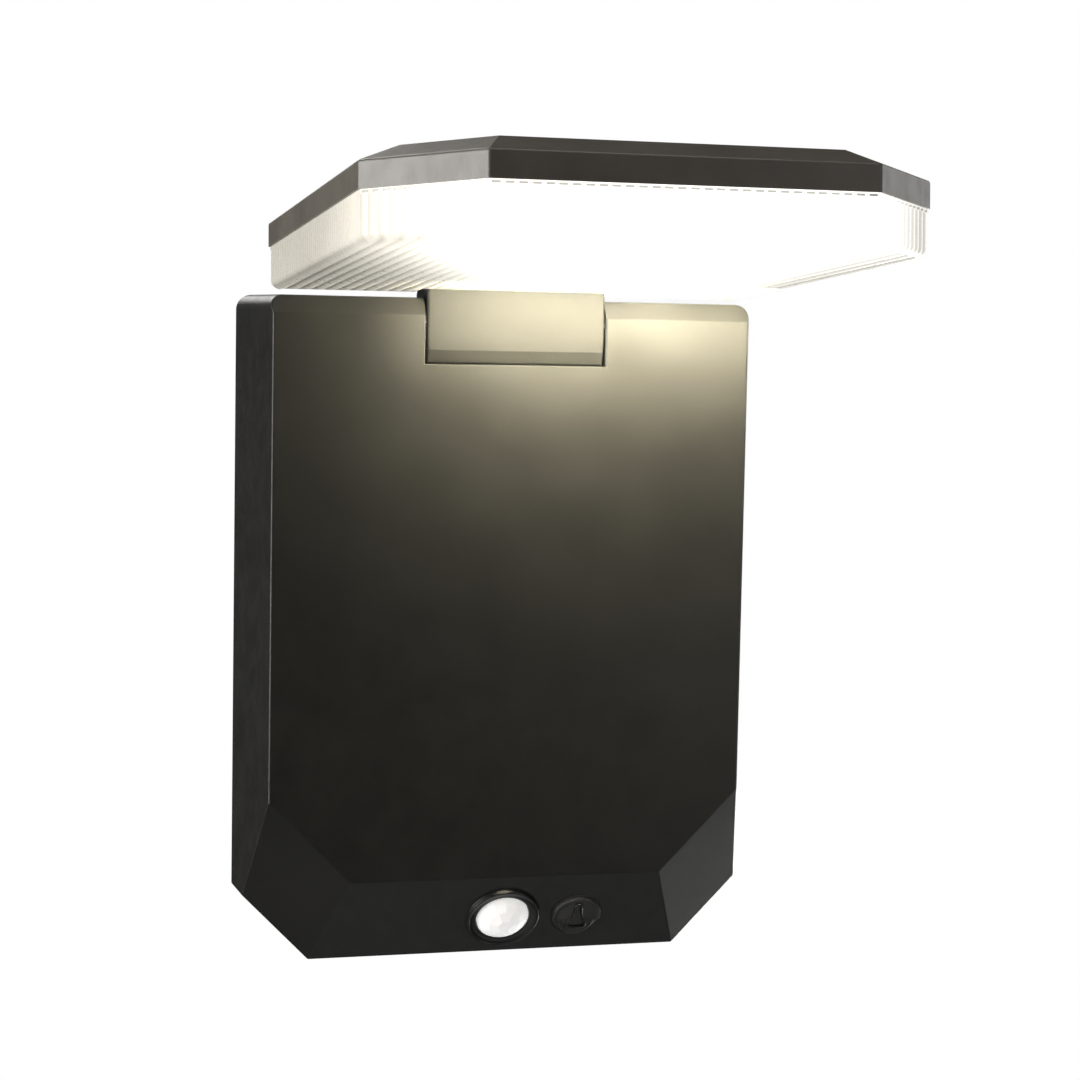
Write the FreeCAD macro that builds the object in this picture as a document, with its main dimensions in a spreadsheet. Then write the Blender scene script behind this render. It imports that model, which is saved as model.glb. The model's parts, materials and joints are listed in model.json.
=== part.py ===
"""Outdoor LED wall light with a fold-down solar head, a motion sensor and a push button.

Millimetres.  X runs to the right, -Y out from the wall, +Z up.  The wall plane is y = 0
and the origin is midway between the two screw holes of the wall bracket.

Fixed parts are drawn with z = 0 at the body's lower edge and then dropped by mount_height.
Parts of the folding head are drawn flat, round the hinge axis, and then tilted with it.
"""
import FreeCAD, Part

import math
import os
import re

import Sketcher

DIMENSIONS = {
    # wall body: a hexagon that narrows towards the front, with a sloping apron below
    "face_width": 150.0,
    "back_width": 166.0,
    "body_height": 207.0,
    "body_depth": 24.0,
    "rim_depth": 7.2,
    "brow_height": 5.3,
    "brow_depth": 3.9,
    "apron_height": 27.5,
    "apron_half_width": 49.5,
    "foot_half_width": 59.8,
    "corner_slope": 1.02,
    "shoulder_radius": 4.5,
    "edge_radius": 0.9,
    "shell_wall": 2.2,
    "apron_inset": 4.2,
    "mount_height": 104.0,
    # back cover and its seal
    "cover_thickness": 2.4,
    "seat_depth": 3.6,
    "ledge_depth": 5.6,
    "seat_inset": 2.3,
    "ledge_inset": 4.4,
    "assembly_gap": 0.3,
    "overcut": 1.0,
    "screw_clearance": 0.2,
    "cover_screw_bite": 8.0,
    "driver_screw_length": 8.0,
    "driver_post_margin": 5.0,
    "apron_hole_reach": 6.0,
    "brow_share_inside": 0.6,
    "cover_screw_spread": 64.0,
    "cover_screw_low": 40.0,
    "cover_screw_high": 192.0,
    "screw_radius": 1.5,
    "screw_head_radius": 2.8,
    "screw_head_height": 1.3,
    "boss_radius": 3.6,
    # wall bracket
    "bracket_width": 60.0,
    "bracket_height": 100.0,
    "bracket_thickness": 1.5,
    "bracket_hole_spacing": 80.0,
    "bracket_hole_radius": 2.5,
    "hook_width": 9.0,
    "hook_spread": 36.0,
    "hook_reach": 4.1,
    "hook_rise": 6.0,
    "hook_drop": 22.0,
    "hook_clearance": 0.5,
    "hook_entry": 3.0,
    "bay_clearance": 1.0,
    "bay_wall": 1.5,
    "bay_rise": 1.3,
    # hinge
    "hinge_depth": 17.3,
    "hinge_height": 199.0,
    "pocket_width": 57.0,
    "pocket_chamfer": 0.5,
    "trough_radius": 13.6,
    "barrel_radius": 12.6,
    "arm_width": 56.0,
    "arm_face": 6.3,
    "arm_chin": 7.8,
    "arm_chin_toe": 4.9,
    "arm_heel": 10.2,
    "arm_waist": 4.4,
    "arm_tongue": 2.6,
    "arm_top": 24.4,
    "pin_radius": 2.0,
    "pin_clearance": 0.05,
    "pin_half_length": 38.0,
    "pin_boss_radius": 5.0,
    "pin_boss_length": 6.5,
    "bush_radius": 3.3,
    "bush_length": 12.0,
    "washer_radius": 5.2,
    "washer_thickness": 1.5,
    "washer_seat_depth": 1.2,
    "arm_screw_line": -1.9,
    "arm_screw_length": 9.0,
    "arm_heel_wall": 1.8,
    "arm_waist_height": 15.0,
    "arm_tongue_height": 2.4,
    "clip_groove_width": 0.8,
    "clip_groove_depth": 0.5,
    "clip_thickness": 0.6,
    "clip_rim": 1.7,
    "clip_mouth_half_width": 1.3,
    # folding head
    "head_width": 150.0,
    "head_length": 178.0,
    "head_back": 4.3,
    "head_rise": 9.6,
    "nose_half_width": 49.2,
    "nose_slope": 1.13,
    "rest_tilt": 3.45,
    "diffuser_height": 13.0,
    "diffuser_inset": 0.6,
    "diffuser_wall": 1.8,
    "diffuser_lip": 2.6,
    "diffuser_edge_radius": 2.5,
    "rim_height": 7.0,
    "roof_height": 4.65,
    "roof_inset": 11.3,
    "notch_gap": 0.6,
    "arm_lean": 1.6,
    "lip_gap": 0.3,
    "lip_wall": 1.4,
    "head_seal_height": 1.0,
    "roof_wall": 1.9,
    "arm_pad_depth": 2.5,
    "arm_pad_clearance": 0.8,
    "arm_pad_back": 3.6,
    # solar panel on the roof
    "panel_inset": 15.5,
    "panel_sheet": 0.6,
    "panel_cell": 0.3,
    "panel_glass": 0.8,
    "cell_gap": 1.2,
    "cell_border": 4.0,
    # light-emitting board
    "led_board_inset": 9.0,
    "led_board_top": 27.2,
    "board_thickness": 1.6,
    "led_length": 3.5,
    "led_width": 2.8,
    "led_height": 0.7,
    "led_pitch_x": 20.0,
    "led_pitch_y": 18.0,
    "led_shift": 4.0,
    "led_screw_side": 0.3,
    "led_screw_back": 0.2,
    "led_screw_nose": 0.72,
    "led_screw_length": 6.0,
    # motion sensor and button on the apron
    "sensor_offset": 0.9,
    "button_offset": 25.0,
    "sensor_drop": 1.1,
    "bezel_radius": 12.0,
    "bezel_height": 1.4,
    "bezel_neck_radius": 9.8,
    "bezel_neck_depth": 3.4,
    "bezel_crown_height": 0.9,
    "bezel_crown_width": 1.6,
    "lens_radius": 8.45,
    "lens_height": 4.0,
    "lens_wall": 0.8,
    "lens_collar": 0.6,
    "lens_depth": 4.4,
    "lens_flange": 0.9,
    "button_radius": 8.1,
    "button_height": 1.3,
    "button_flange": 9.4,
    "button_crown": 0.6,
    "button_skirt": 2.6,
    "button_flange_height": 1.0,
    "button_stem_radius": 2.0,
    "sensor_board_depth": 8.6,
    "sensor_board_thickness": 1.4,
    "sensor_board_left": 12.0,
    "sensor_board_right": 34.0,
    "sensor_board_low": 5.0,
    "sensor_board_high": 11.0,
    "sensor_can_radius": 4.1,
    "sensor_can_height": 3.6,
    "sensor_rim_radius": 4.8,
    "sensor_rim_height": 0.6,
    "switch_half_width": 3.0,
    "switch_height": 2.0,
    "switch_plunger_radius": 1.7,
    "switch_plunger_height": 0.9,
    # battery and driver board
    "cell_radius": 9.15,
    "cell_length": 65.0,
    "cell_height": 171.0,
    "cell_depth": 12.1,
    "cell_spacing": 0.8,
    "holder_reach": 3.6,
    "holder_half_width": 6.0,
    "holder_floor": 1.5,
    "holder_wall": 1.4,
    "holder_divider": 0.6,
    "contact_radius": 4.0,
    "contact_spring": 1.3,
    "contact_thickness": 0.4,
    "contact_drop": 4.5,
    "capacitor_radius": 3.2,
    "capacitor_height": 5.4,
    "driver_width": 96.0,
    "driver_height": 46.0,
    "driver_low": 62.0,
    "driver_depth": 11.5,
}

doc = FreeCAD.newDocument("wall_light")
sizes = doc.addObject("Spreadsheet::Sheet", "sizes")
for row, (alias, value) in enumerate(DIMENSIONS.items(), start=1):
    sizes.set(f"A{row}", alias)
    sizes.set(f"B{row}", str(value))
    sizes.setAlias(f"B{row}", alias)
doc.recompute()

subparts = []


# ---------------------------------------------------------------- helpers


def formula(text):
    """A sheet formula: every dimension's name gets the sheet's prefix."""
    return re.sub(
        r"[a-z_]+",
        lambda word: "sizes." + word.group(0) if word.group(0) in DIMENSIONS else word.group(0),
        str(text),
    )


def size_of(alias):
    """The value of one dimension, for choices made in code."""
    return float(sizes.get(alias))


def bind(item, **properties):
    """Bind properties to formulas; a double underscore stands for a dot in a property's path."""
    for name, text in properties.items():
        item.setExpression(name.replace("__", "."), formula(text))
    return item


def box(name, low, high):
    """A block between two corners, each given as three formulas."""
    block = doc.addObject("Part::Box", name)
    bind(
        block,
        Length=f"({high[0]}) - ({low[0]})",
        Width=f"({high[1]}) - ({low[1]})",
        Height=f"({high[2]}) - ({low[2]})",
        Placement__Base__x=low[0],
        Placement__Base__y=low[1],
        Placement__Base__z=low[2],
    )
    return block


def rod(name, way, start, radius, length):
    """A cylinder from a start point to the right (+X), out from the wall (-Y) or up (+Z)."""
    turns = {"right": FreeCAD.Vector(0, 1, 0), "out": FreeCAD.Vector(1, 0, 0)}
    cylinder = doc.addObject("Part::Cylinder", name)
    if way in turns:
        rotation = FreeCAD.Rotation(turns[way], 90)
        cylinder.Placement = FreeCAD.Placement(FreeCAD.Vector(), rotation)
    bind(
        cylinder,
        Radius=radius,
        Height=length,
        Placement__Base__x=start[0],
        Placement__Base__y=start[1],
        Placement__Base__z=start[2],
    )
    return cylinder


def ball(name, centre, radius):
    """A sphere."""
    sphere = doc.addObject("Part::Sphere", name)
    bind(
        sphere,
        Radius=radius,
        Placement__Base__x=centre[0],
        Placement__Base__y=centre[1],
        Placement__Base__z=centre[2],
    )
    return sphere


def fuse(name, *pieces):
    """One solid from several that touch or overlap."""
    union = doc.addObject("Part::MultiFuse", name)
    union.Shapes = list(pieces)
    union.Refine = True
    return union


def cut(name, base, *tools):
    """The base with the tools taken away."""
    difference = doc.addObject("Part::Cut", name)
    difference.Base = base
    difference.Tool = tools[0] if len(tools) == 1 else group(name + "_tools", tools)
    difference.Refine = True
    return difference


def common(name, first, second):
    """Where two solids overlap."""
    overlap = doc.addObject("Part::Common", name)
    overlap.Base = first
    overlap.Tool = second
    overlap.Refine = True
    return overlap


def group(name, pieces):
    """Several separate solids kept as one sub-part."""
    compound = doc.addObject("Part::Compound", name)
    compound.Links = list(pieces)
    return compound


def origin_plane(body, role):
    """One of a body's own origin planes."""
    return next(item for item in body.Origin.OriginFeatures if item.Role == role)


def closed_sketch(body, name, role, offset, points):
    """A closed outline of straight lines through points given as formulas."""
    sketch = body.newObject("Sketcher::SketchObject", name)
    sketch.AttachmentSupport = [(origin_plane(body, role), "")]
    sketch.MapMode = "FlatFace"
    bind(sketch, AttachmentOffset__Base__z=offset)
    count = len(points)
    ring = [
        FreeCAD.Vector(math.cos(2 * math.pi * i / count), math.sin(2 * math.pi * i / count), 0)
        for i in range(count)
    ]
    for i in range(count):
        sketch.addGeometry(Part.LineSegment(ring[i], ring[(i + 1) % count]), False)
    for i in range(count):
        sketch.addConstraint(Sketcher.Constraint("Coincident", i, 2, (i + 1) % count, 1))
    for i, (across, along) in enumerate(points):
        for kind, text, guess in (("DistanceX", across, ring[i].x), ("DistanceY", along, ring[i].y)):
            index = sketch.addConstraint(Sketcher.Constraint(kind, -1, 1, i, 1, guess))
            sketch.setExpression(f"Constraints[{index}]", formula(text))
    return sketch


def prism(name, role, start, length, points):
    """A pad of one outline between two distances from an origin plane."""
    body = doc.addObject("PartDesign::Body", name)
    sketch = closed_sketch(body, name + "_outline", role, start, points)
    pad = body.newObject("PartDesign::Pad", name + "_pad")
    pad.Profile = sketch
    bind(pad, Length=length)
    return body


def loft(name, role, sections, body=None):
    """A flat-faced solid through outlines, each given as (distance, points)."""
    body = body or doc.addObject("PartDesign::Body", name)
    outlines = [
        closed_sketch(body, f"{name}_outline_{i}", role, distance, points)
        for i, (distance, points) in enumerate(sections)
    ]
    skin = body.newObject("PartDesign::AdditiveLoft", name + "_loft")
    skin.Profile = outlines[0]
    skin.Sections = outlines[1:]
    skin.Ruled = True
    skin.Refine = True
    return body


def bend_at(shape, edge):
    """The angle in degrees between the two faces that meet along an edge."""
    middle = edge.valueAt((edge.FirstParameter + edge.LastParameter) / 2)
    faces = shape.ancestorsOfType(edge, Part.Face)
    if len(faces) < 2:
        return 0.0
    normals = [face.normalAt(*face.Surface.parameter(middle)) for face in faces[:2]]
    return math.degrees(normals[0].getAngle(normals[1]))


def round_edges(body, name, radius, wanted, least_bend=5.0):
    """Round a body's edges that bend enough and whose midpoint and direction pass a test."""
    doc.recompute()
    base = body.Tip
    names = []
    for number, edge in enumerate(base.Shape.Edges, start=1):
        if edge.Length < 1e-6 or bend_at(base.Shape, edge) < least_bend:
            continue
        way = edge.Vertexes[-1].Point - edge.Vertexes[0].Point
        middle = edge.valueAt((edge.FirstParameter + edge.LastParameter) / 2)
        if wanted(middle, way):
            names.append(f"Edge{number}")
    if not names:
        raise RuntimeError(f"{name}: no edge to round")
    rounding = body.newObject("PartDesign::Fillet", name)
    rounding.Base = (base, names)
    bind(rounding, Radius=radius)
    return body


def hexagon(half_width, high, low, foot, slope, inset="0", foot_inset=None):
    """A rectangle with its two lower corners cut off, drawn inset from its outline.

    The cut starts at (foot, low) and climbs with the given slope to the side.
    """
    foot_inset = inset if foot_inset is None else foot_inset
    stretch = f"sqrt(1 + ({slope})^2)"
    side = f"({half_width}) - ({inset})"
    top = f"({high}) - ({inset})"
    bottom = f"({low}) + ({foot_inset})"
    knee = f"({low}) + ({slope}) * (({side}) - ({foot})) + ({foot_inset}) * {stretch}"
    toe = f"({foot}) - ({foot_inset}) * ({stretch} - 1) / ({slope})"
    return [
        (side, top),
        (f"-({side})", top),
        (f"-({side})", knee),
        (f"-({toe})", bottom),
        (toe, bottom),
        (side, knee),
    ]


APRON_ANGLE = "atan(apron_height / (body_depth - rim_depth))"
FRAMES = {
    # frame: (turn about X in degrees, y of its origin, z of its origin above the body's foot)
    "body": ("0 deg", "0", "0"),
    "hinge": ("0 deg", "-hinge_depth", "hinge_height"),
    "head": ("-rest_tilt * 1 deg", "-hinge_depth", "hinge_height"),
    "apron": (
        f"180 deg - {APRON_ANGLE}",
        f"-(rim_depth + body_depth) / 2 + sensor_drop * cos({APRON_ANGLE})",
        f"apron_height / 2 - sensor_drop * sin({APRON_ANGLE})",
    ),
}


def in_frame(name, piece, frame, drop="0"):
    """A copy of one piece or several, carried from a frame to the body's own coordinates."""
    turn, across, height = FRAMES[frame]
    carried = group(name, piece if isinstance(piece, (list, tuple)) else [piece])
    carried.Placement = FreeCAD.Placement(
        FreeCAD.Vector(), FreeCAD.Rotation(FreeCAD.Vector(1, 0, 0), 1)
    )
    bind(
        carried,
        Placement__Rotation__Angle=turn,
        Placement__Base__y=across,
        Placement__Base__z=f"({height}) - ({drop})",
    )
    return carried


def finished(name, pieces, frame="body"):
    """Register a sub-part under its own name, set in its frame with z = 0 at the mount."""
    item = in_frame(name, pieces, frame, drop="mount_height")
    item.Label = name
    subparts.append(item)
    return item


# ---------------------------------------------------------------- outlines


def body_outline(depth, slant, high="body_height", inset="0", foot_inset=None):
    """The wall body's outline at a depth; slant runs from 0 at the rim to 1 at the face."""
    half_width = f"back_width / 2 - (back_width - face_width) / 2 * ({depth}) / body_depth"
    foot = f"foot_half_width + (apron_half_width - foot_half_width) * ({slant})"
    return hexagon(half_width, high, f"apron_height * ({slant})", foot, "corner_slope", inset, foot_inset)


def head_outline(inset="0"):
    """The folding head's outline, seen from above: square at the wall, cut at the nose."""
    return hexagon("head_width / 2", "head_back", "head_back - head_length", "nose_half_width",
                   "nose_slope", inset)


def slant_at(depth):
    """How far down the apron a depth lies, from 0 to 1."""
    return f"(({depth}) - rim_depth) / (body_depth - rim_depth)"


# ---------------------------------------------------------------- wall body


def outer_body():
    """The wall body's outside, rounded: soft shoulders, crisp facet edges."""
    brow = "body_depth - brow_depth"
    body = loft("outer_body", "XZ_Plane", [
        ("0", body_outline("0", "0")),
        ("rim_depth", body_outline("rim_depth", "0")),
        (brow, body_outline(brow, slant_at(brow))),
        ("body_depth", body_outline("body_depth", "1", "body_height - brow_height")),
    ])
    top = size_of("body_height")

    def shoulder(middle, way):
        return abs(middle.z - top) < 0.01 and abs(way.x) < abs(way.y)

    def off_the_wall(middle, way):
        return middle.y < -0.01

    round_edges(body, "shoulders", "shoulder_radius", shoulder)
    round_edges(body, "facet_edges", "edge_radius", off_the_wall)
    return body


def hinge_housing(outer):
    """The walls round the arm's pocket and the bosses that carry the pin's ends."""
    half = "pocket_width / 2 + shell_wall"
    block = box(
        "housing_block",
        (f"-({half})", "-body_depth", "hinge_height - trough_radius - shell_wall"),
        (half, "0", "body_height"),
    )
    walls = common("housing_walls", block, outer)
    bosses = [
        rod(
            f"pin_boss_{side}",
            "right",
            (start, "-hinge_depth", "hinge_height"),
            "pin_boss_radius",
            "pin_boss_length",
        )
        for side, start in (
            ("right", "pocket_width / 2 + shell_wall"),
            ("left", "-(pocket_width / 2 + shell_wall + pin_boss_length)"),
        )
    ]
    return [walls] + bosses


def arm_pocket():
    """The open-topped trough that the hinge arm turns in."""
    start = ("-pocket_width / 2", "-hinge_depth", "hinge_height")
    trough = rod("pocket_trough", "right", start, "trough_radius", "pocket_width")
    chimney = box(
        "pocket_chimney",
        ("-pocket_width / 2", "-(hinge_depth + trough_radius)", "hinge_height"),
        ("pocket_width / 2", "-(hinge_depth - trough_radius)", "body_height + trough_radius"),
    )
    flare = loft("pocket_flare", "XZ_Plane", [
        ("body_depth - pocket_chamfer", pocket_mouth("0")),
        ("body_depth + pocket_chamfer", pocket_mouth("2 * pocket_chamfer")),
    ])
    return fuse("arm_pocket", trough, chimney, flare)


def pocket_mouth(grown):
    """The pocket's opening in the face, grown sideways and downwards."""
    half = f"pocket_width / 2 + ({grown})"
    drop = "sqrt(trough_radius^2 - (body_depth - hinge_depth)^2)"
    low = f"hinge_height - {drop} - ({grown})"
    return [(half, "body_height"), (f"-({half})", "body_height"), (f"-({half})", low), (half, low)]


def cover_screw_places():
    """The four cover screws: sideways place and height."""
    return [(f"{sign} * cover_screw_spread", height)
            for height in ("cover_screw_low", "cover_screw_high")
            for sign in (-1, 1)]


def driver_post_places():
    """The driver board's four screws: sideways place and height."""
    return [(f"{sign} * (driver_width / 2 - driver_post_margin)", height)
            for height in ("driver_low + driver_post_margin",
                           "driver_low + driver_height - driver_post_margin")
            for sign in (-1, 1)]


def body_shell():
    """The one-piece front shell: hollow behind, with the arm's pocket and the two apron holes."""
    outer = outer_body()
    inner_front = "body_depth - shell_wall"
    inner_brow = "body_depth - brow_depth - shell_wall / 2"
    cavity = loft("cavity", "XZ_Plane", [
        ("ledge_depth", body_outline("ledge_depth", "0", inset="shell_wall")),
        ("rim_depth", body_outline("rim_depth", "0", inset="shell_wall")),
        (inner_brow, body_outline(inner_brow, slant_at(inner_brow), "body_height", "shell_wall",
                                  "apron_inset")),
        (inner_front, body_outline(inner_front, slant_at(inner_front),
                                   "body_height - brow_height * brow_share_inside", "shell_wall",
                                   "apron_inset")),
    ])
    neck = prism("ledge_opening", "XZ_Plane", "0", "ledge_depth + overcut / 10",
                 body_outline("ledge_depth", "0", inset="ledge_inset"))
    seat = prism("cover_seat", "XZ_Plane", "0", "seat_depth",
                 body_outline("seat_depth", "0", inset="seat_inset"))
    hollow = cut("hollow_shell", outer, cavity, neck, seat)
    posts = [
        rod(f"cover_post_{i}", "out", (x, "-(cover_thickness + assembly_gap)", z), "boss_radius",
            "body_depth - cover_thickness - assembly_gap - shell_wall / 2")
        for i, (x, z) in enumerate(cover_screw_places())
    ]
    posts += [
        rod(f"driver_post_{i}", "out", (x, "-(driver_depth + board_thickness)", z), "boss_radius",
            "body_depth - driver_depth - board_thickness - shell_wall / 2")
        for i, (x, z) in enumerate(driver_post_places())
    ]
    posts_inside = common("posts_inside", group("posts", posts), outer)
    solid = fuse("shell_with_bosses", hollow, *hinge_housing(outer), posts_inside)
    pin_bore = rod("pin_bore", "right", ("-pin_half_length", "-hinge_depth", "hinge_height"),
                   "pin_radius", "2 * pin_half_length")
    sensor_hole = rod("sensor_hole", "up", ("sensor_offset", "0", "-apron_hole_reach"),
                      "bezel_neck_radius", "2 * apron_hole_reach")
    button_hole = rod("button_hole", "up", ("button_offset", "0", "-apron_hole_reach"),
                      "button_radius + assembly_gap", "2 * apron_hole_reach")
    apron_holes = in_frame("apron_holes", [sensor_hole, button_hole], "apron")
    screw_bores = [
        rod(f"cover_bore_{i}", "out", (x, "0", z), "screw_radius",
            "seat_depth + cover_screw_bite + overcut")
        for i, (x, z) in enumerate(cover_screw_places())
    ]
    screw_bores += [
        rod(f"driver_bore_{i}", "out", (x, "-driver_depth", z), "screw_radius",
            "driver_screw_length - overcut")
        for i, (x, z) in enumerate(driver_post_places())
    ]
    shell = cut("body_shell_cut", solid, arm_pocket(), pin_bore, apron_holes, *screw_bores)
    return finished("body_shell", shell)


def back_cover():
    """The plate that closes the shell: a raised bay for the bracket and a notch for the housing."""
    inset = "seat_inset + assembly_gap"
    plate = prism("cover_plate", "XZ_Plane", "0", "cover_thickness",
                  body_outline("seat_depth", "0", inset=inset))
    bay_half_width = "bracket_width / 2 + bay_clearance"
    bay_low = "mount_height - bracket_height / 2 - bay_clearance"
    bay_high = "mount_height + bracket_height / 2 + bay_clearance"
    bay = box("bracket_bay",
              (f"-({bay_half_width}) - bay_wall", "-cover_thickness - bay_rise",
               f"{bay_low} - bay_wall"),
              (f"{bay_half_width} + bay_wall", "-cover_thickness / 2", f"{bay_high} + bay_wall"))
    recess = box("bracket_recess",
                 (f"-({bay_half_width})", "-bracket_thickness - assembly_gap", bay_low),
                 (bay_half_width, "overcut", bay_high))
    notch_half = "pocket_width / 2 + shell_wall + assembly_gap"
    notch = box("housing_notch",
                (f"-({notch_half})", "-cover_thickness - overcut",
                 "hinge_height - trough_radius - shell_wall - assembly_gap"),
                (notch_half, "overcut", "body_height"))
    slots = [
        box(f"hook_slot_{i}",
            (f"{sign} * hook_spread / 2 - hook_width / 2 - hook_clearance",
             "-cover_thickness - bay_rise - overcut", f"{low} - hook_clearance"),
            (f"{sign} * hook_spread / 2 + hook_width / 2 + hook_clearance", "0",
             f"{low} + hook_rise + bracket_thickness + hook_entry"))
        for i, (sign, low) in enumerate(hook_places())
    ]
    bores = [
        rod(f"cover_plate_bore_{i}", "out", (x, "0", z), "screw_radius + screw_clearance",
            "cover_thickness")
        for i, (x, z) in enumerate(cover_screw_places())
    ]
    sinks = [
        rod(f"cover_plate_sink_{i}", "out", (x, "0", z), "screw_head_radius + assembly_gap",
            "screw_head_height + overcut / 10")
        for i, (x, z) in enumerate(cover_screw_places())
    ]
    cover = cut("back_cover_cut", fuse("cover_with_bay", plate, bay), recess, notch,
                *slots, *bores, *sinks)
    return finished("back_cover", cover)


def back_seal():
    """The flat gasket squeezed between the cover's edge and the shell's ledge."""
    outside = prism("seal_outside", "XZ_Plane", "cover_thickness", "seat_depth - cover_thickness",
                    body_outline("seat_depth", "0", inset="seat_inset + assembly_gap"))
    inside = prism("seal_inside", "XZ_Plane", "0", "seat_depth + overcut",
                   body_outline("seat_depth", "0", inset="ledge_inset"))
    notch_half = "pocket_width / 2 + shell_wall + assembly_gap"
    notch = box("seal_notch",
                (f"-({notch_half})", "-seat_depth - overcut", "hinge_height - trough_radius"),
                (notch_half, "overcut", "body_height"))
    return finished("back_seal", cut("back_seal_ring", outside, inside, notch))


def pan_screw(name, way, start, length):
    """A screw whose head starts at a point and whose shank runs on the same way."""
    head = rod(name + "_head", way, start, "screw_head_radius", "screw_head_height")
    shank = rod(name + "_shank", way, start, "screw_radius", length)
    return fuse(name, head, shank)


def back_cover_screws():
    """Four screws through the cover into the shell's posts."""
    return finished("back_cover_screws", [
        pan_screw(f"cover_screw_{i}", "out", (x, "0", z), "seat_depth + cover_screw_bite")
        for i, (x, z) in enumerate(cover_screw_places())
    ])


def hook_places():
    """The bracket's hooks: which side, and the height of the tongue's lower face."""
    upper = "mount_height + hook_drop"
    lower = "mount_height - hook_drop - bracket_thickness"
    return [(sign, height) for height in (lower, upper) for sign in (-1, 1)]


def wall_bracket():
    """The steel plate that is screwed to the wall; four bent hooks carry the lamp."""
    plate = box("bracket_plate",
                ("-bracket_width / 2", "-bracket_thickness", "mount_height - bracket_height / 2"),
                ("bracket_width / 2", "0", "mount_height + bracket_height / 2"))
    hooks = []
    for i, (sign, low) in enumerate(hook_places()):
        left = f"{sign} * hook_spread / 2 - hook_width / 2"
        right = f"{sign} * hook_spread / 2 + hook_width / 2"
        hooks.append(box(f"hook_tongue_{i}", (left, "-hook_reach - bracket_thickness", low),
                         (right, "-bracket_thickness / 2", f"{low} + bracket_thickness")))
        hooks.append(box(f"hook_tip_{i}", (left, "-hook_reach - bracket_thickness", low),
                         (right, "-hook_reach", f"{low} + hook_rise")))
    bores = [
        rod(f"bracket_bore_{i}", "out",
            ("0", "overcut", f"mount_height + {sign} * bracket_hole_spacing / 2"),
            "bracket_hole_radius", "bracket_thickness + 2 * overcut")
        for i, sign in enumerate((-1, 1))
    ]
    return finished("wall_bracket", cut("bracket_cut", fuse("bracket_hooked", plate, *hooks), *bores))


# ---------------------------------------------------------------- power and control


def battery_cells():
    """Two cylindrical cells lying end to end."""
    return finished("battery_cells", [
        rod(f"cell_{i}", "right", (start, "-cell_depth", "cell_height"), "cell_radius",
            "cell_length")
        for i, start in enumerate(("-cell_length - cell_spacing", "cell_spacing"))
    ])


def battery_holder():
    """A rail under the cells with a plate at each end and one between them."""
    low = "cell_height - cell_radius - holder_floor"
    reach = "cell_length + holder_reach"
    front, back = "-cell_depth - holder_half_width", "-cell_depth + holder_half_width"
    rail = box("holder_rail", (f"-({reach})", front, low),
               (reach, back, "cell_height - cell_radius"))
    ends = [
        box(f"holder_end_{i}", (left, front, low),
            (f"{left} + holder_wall", back, "cell_height + cell_radius / 2"))
        for i, left in enumerate((f"-({reach})", f"{reach} - holder_wall"))
    ]
    divider = box("holder_divider", ("-holder_divider / 2", front, low),
                  ("holder_divider / 2", back, "cell_height"))
    return finished("battery_holder", fuse("holder_body", rail, divider, *ends))


def battery_contacts():
    """Sprung plates at the cells' outer ends and flat ones at the divider."""
    outer_end = "cell_length + cell_spacing"
    springs = [
        rod(f"contact_{side}", "right", (start, "-cell_depth", "cell_height"), "contact_radius",
            "contact_spring")
        for side, start in (("right", outer_end), ("left", f"-({outer_end}) - contact_spring"))
    ]
    inner_start = "(holder_divider / 2 + cell_spacing - contact_thickness) / 2"
    plates = [
        rod(f"contact_inner_{side}", "right", (start, "-cell_depth", "cell_height - contact_drop"),
            "contact_radius", "contact_thickness")
        for side, start in (("right", inner_start),
                            ("left", f"-({inner_start}) - contact_thickness"))
    ]
    return finished("battery_contacts", springs + plates)


def driver_board():
    """The charger and lamp driver's circuit board."""
    plate = box("driver_plate",
                ("-driver_width / 2", "-driver_depth - board_thickness", "driver_low"),
                ("driver_width / 2", "-driver_depth", "driver_low + driver_height"))
    bores = [
        rod(f"driver_plate_bore_{i}", "out", (x, "-driver_depth + overcut", z),
            "screw_radius + screw_clearance", "board_thickness + 2 * overcut")
        for i, (x, z) in enumerate(driver_post_places())
    ]
    return finished("driver_board", cut("driver_board_cut", plate, *bores))


def driver_components():
    """Chips, a coil, capacitors and plugs on the driver board's back."""
    low = "driver_low + "
    blocks = (
        # (left edge, height above the board's lower edge, width, height, thickness)
        ("charger_chip", -30, 14, 8, 8, 1.6),
        ("driver_chip", 8, 26, 6, 6, 1.4),
        ("coil", -8, 12, 11, 11, 4.2),
        ("battery_plug", -34, 34, 12, 6, 5.0),
        ("head_plug", 20, 34, 10, 6, 5.0),
        ("sensor_plug", 24, 4, 12, 6, 5.0),
    )
    pieces = [
        box(name, (left, "-driver_depth", f"{low}{up}"),
            (left + wide, f"-driver_depth + {deep}", f"{low}{up + tall}"))
        for name, left, up, wide, tall, deep in blocks
    ]
    pieces += [
        rod(f"capacitor_{i}", "out", (x, "-driver_depth + capacitor_height", f"{low}{up}"),
            "capacitor_radius", "capacitor_height")
        for i, (x, up) in enumerate(((14, 16), (-16, 30)))
    ]
    return finished("driver_components", pieces)


def driver_screws():
    """Four screws that hold the driver board to its posts."""
    return finished("driver_screws", [
        pan_screw(f"driver_screw_{i}", "out", (x, "-driver_depth + screw_head_height", z),
                  "driver_screw_length")
        for i, (x, z) in enumerate(driver_post_places())
    ])


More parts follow.
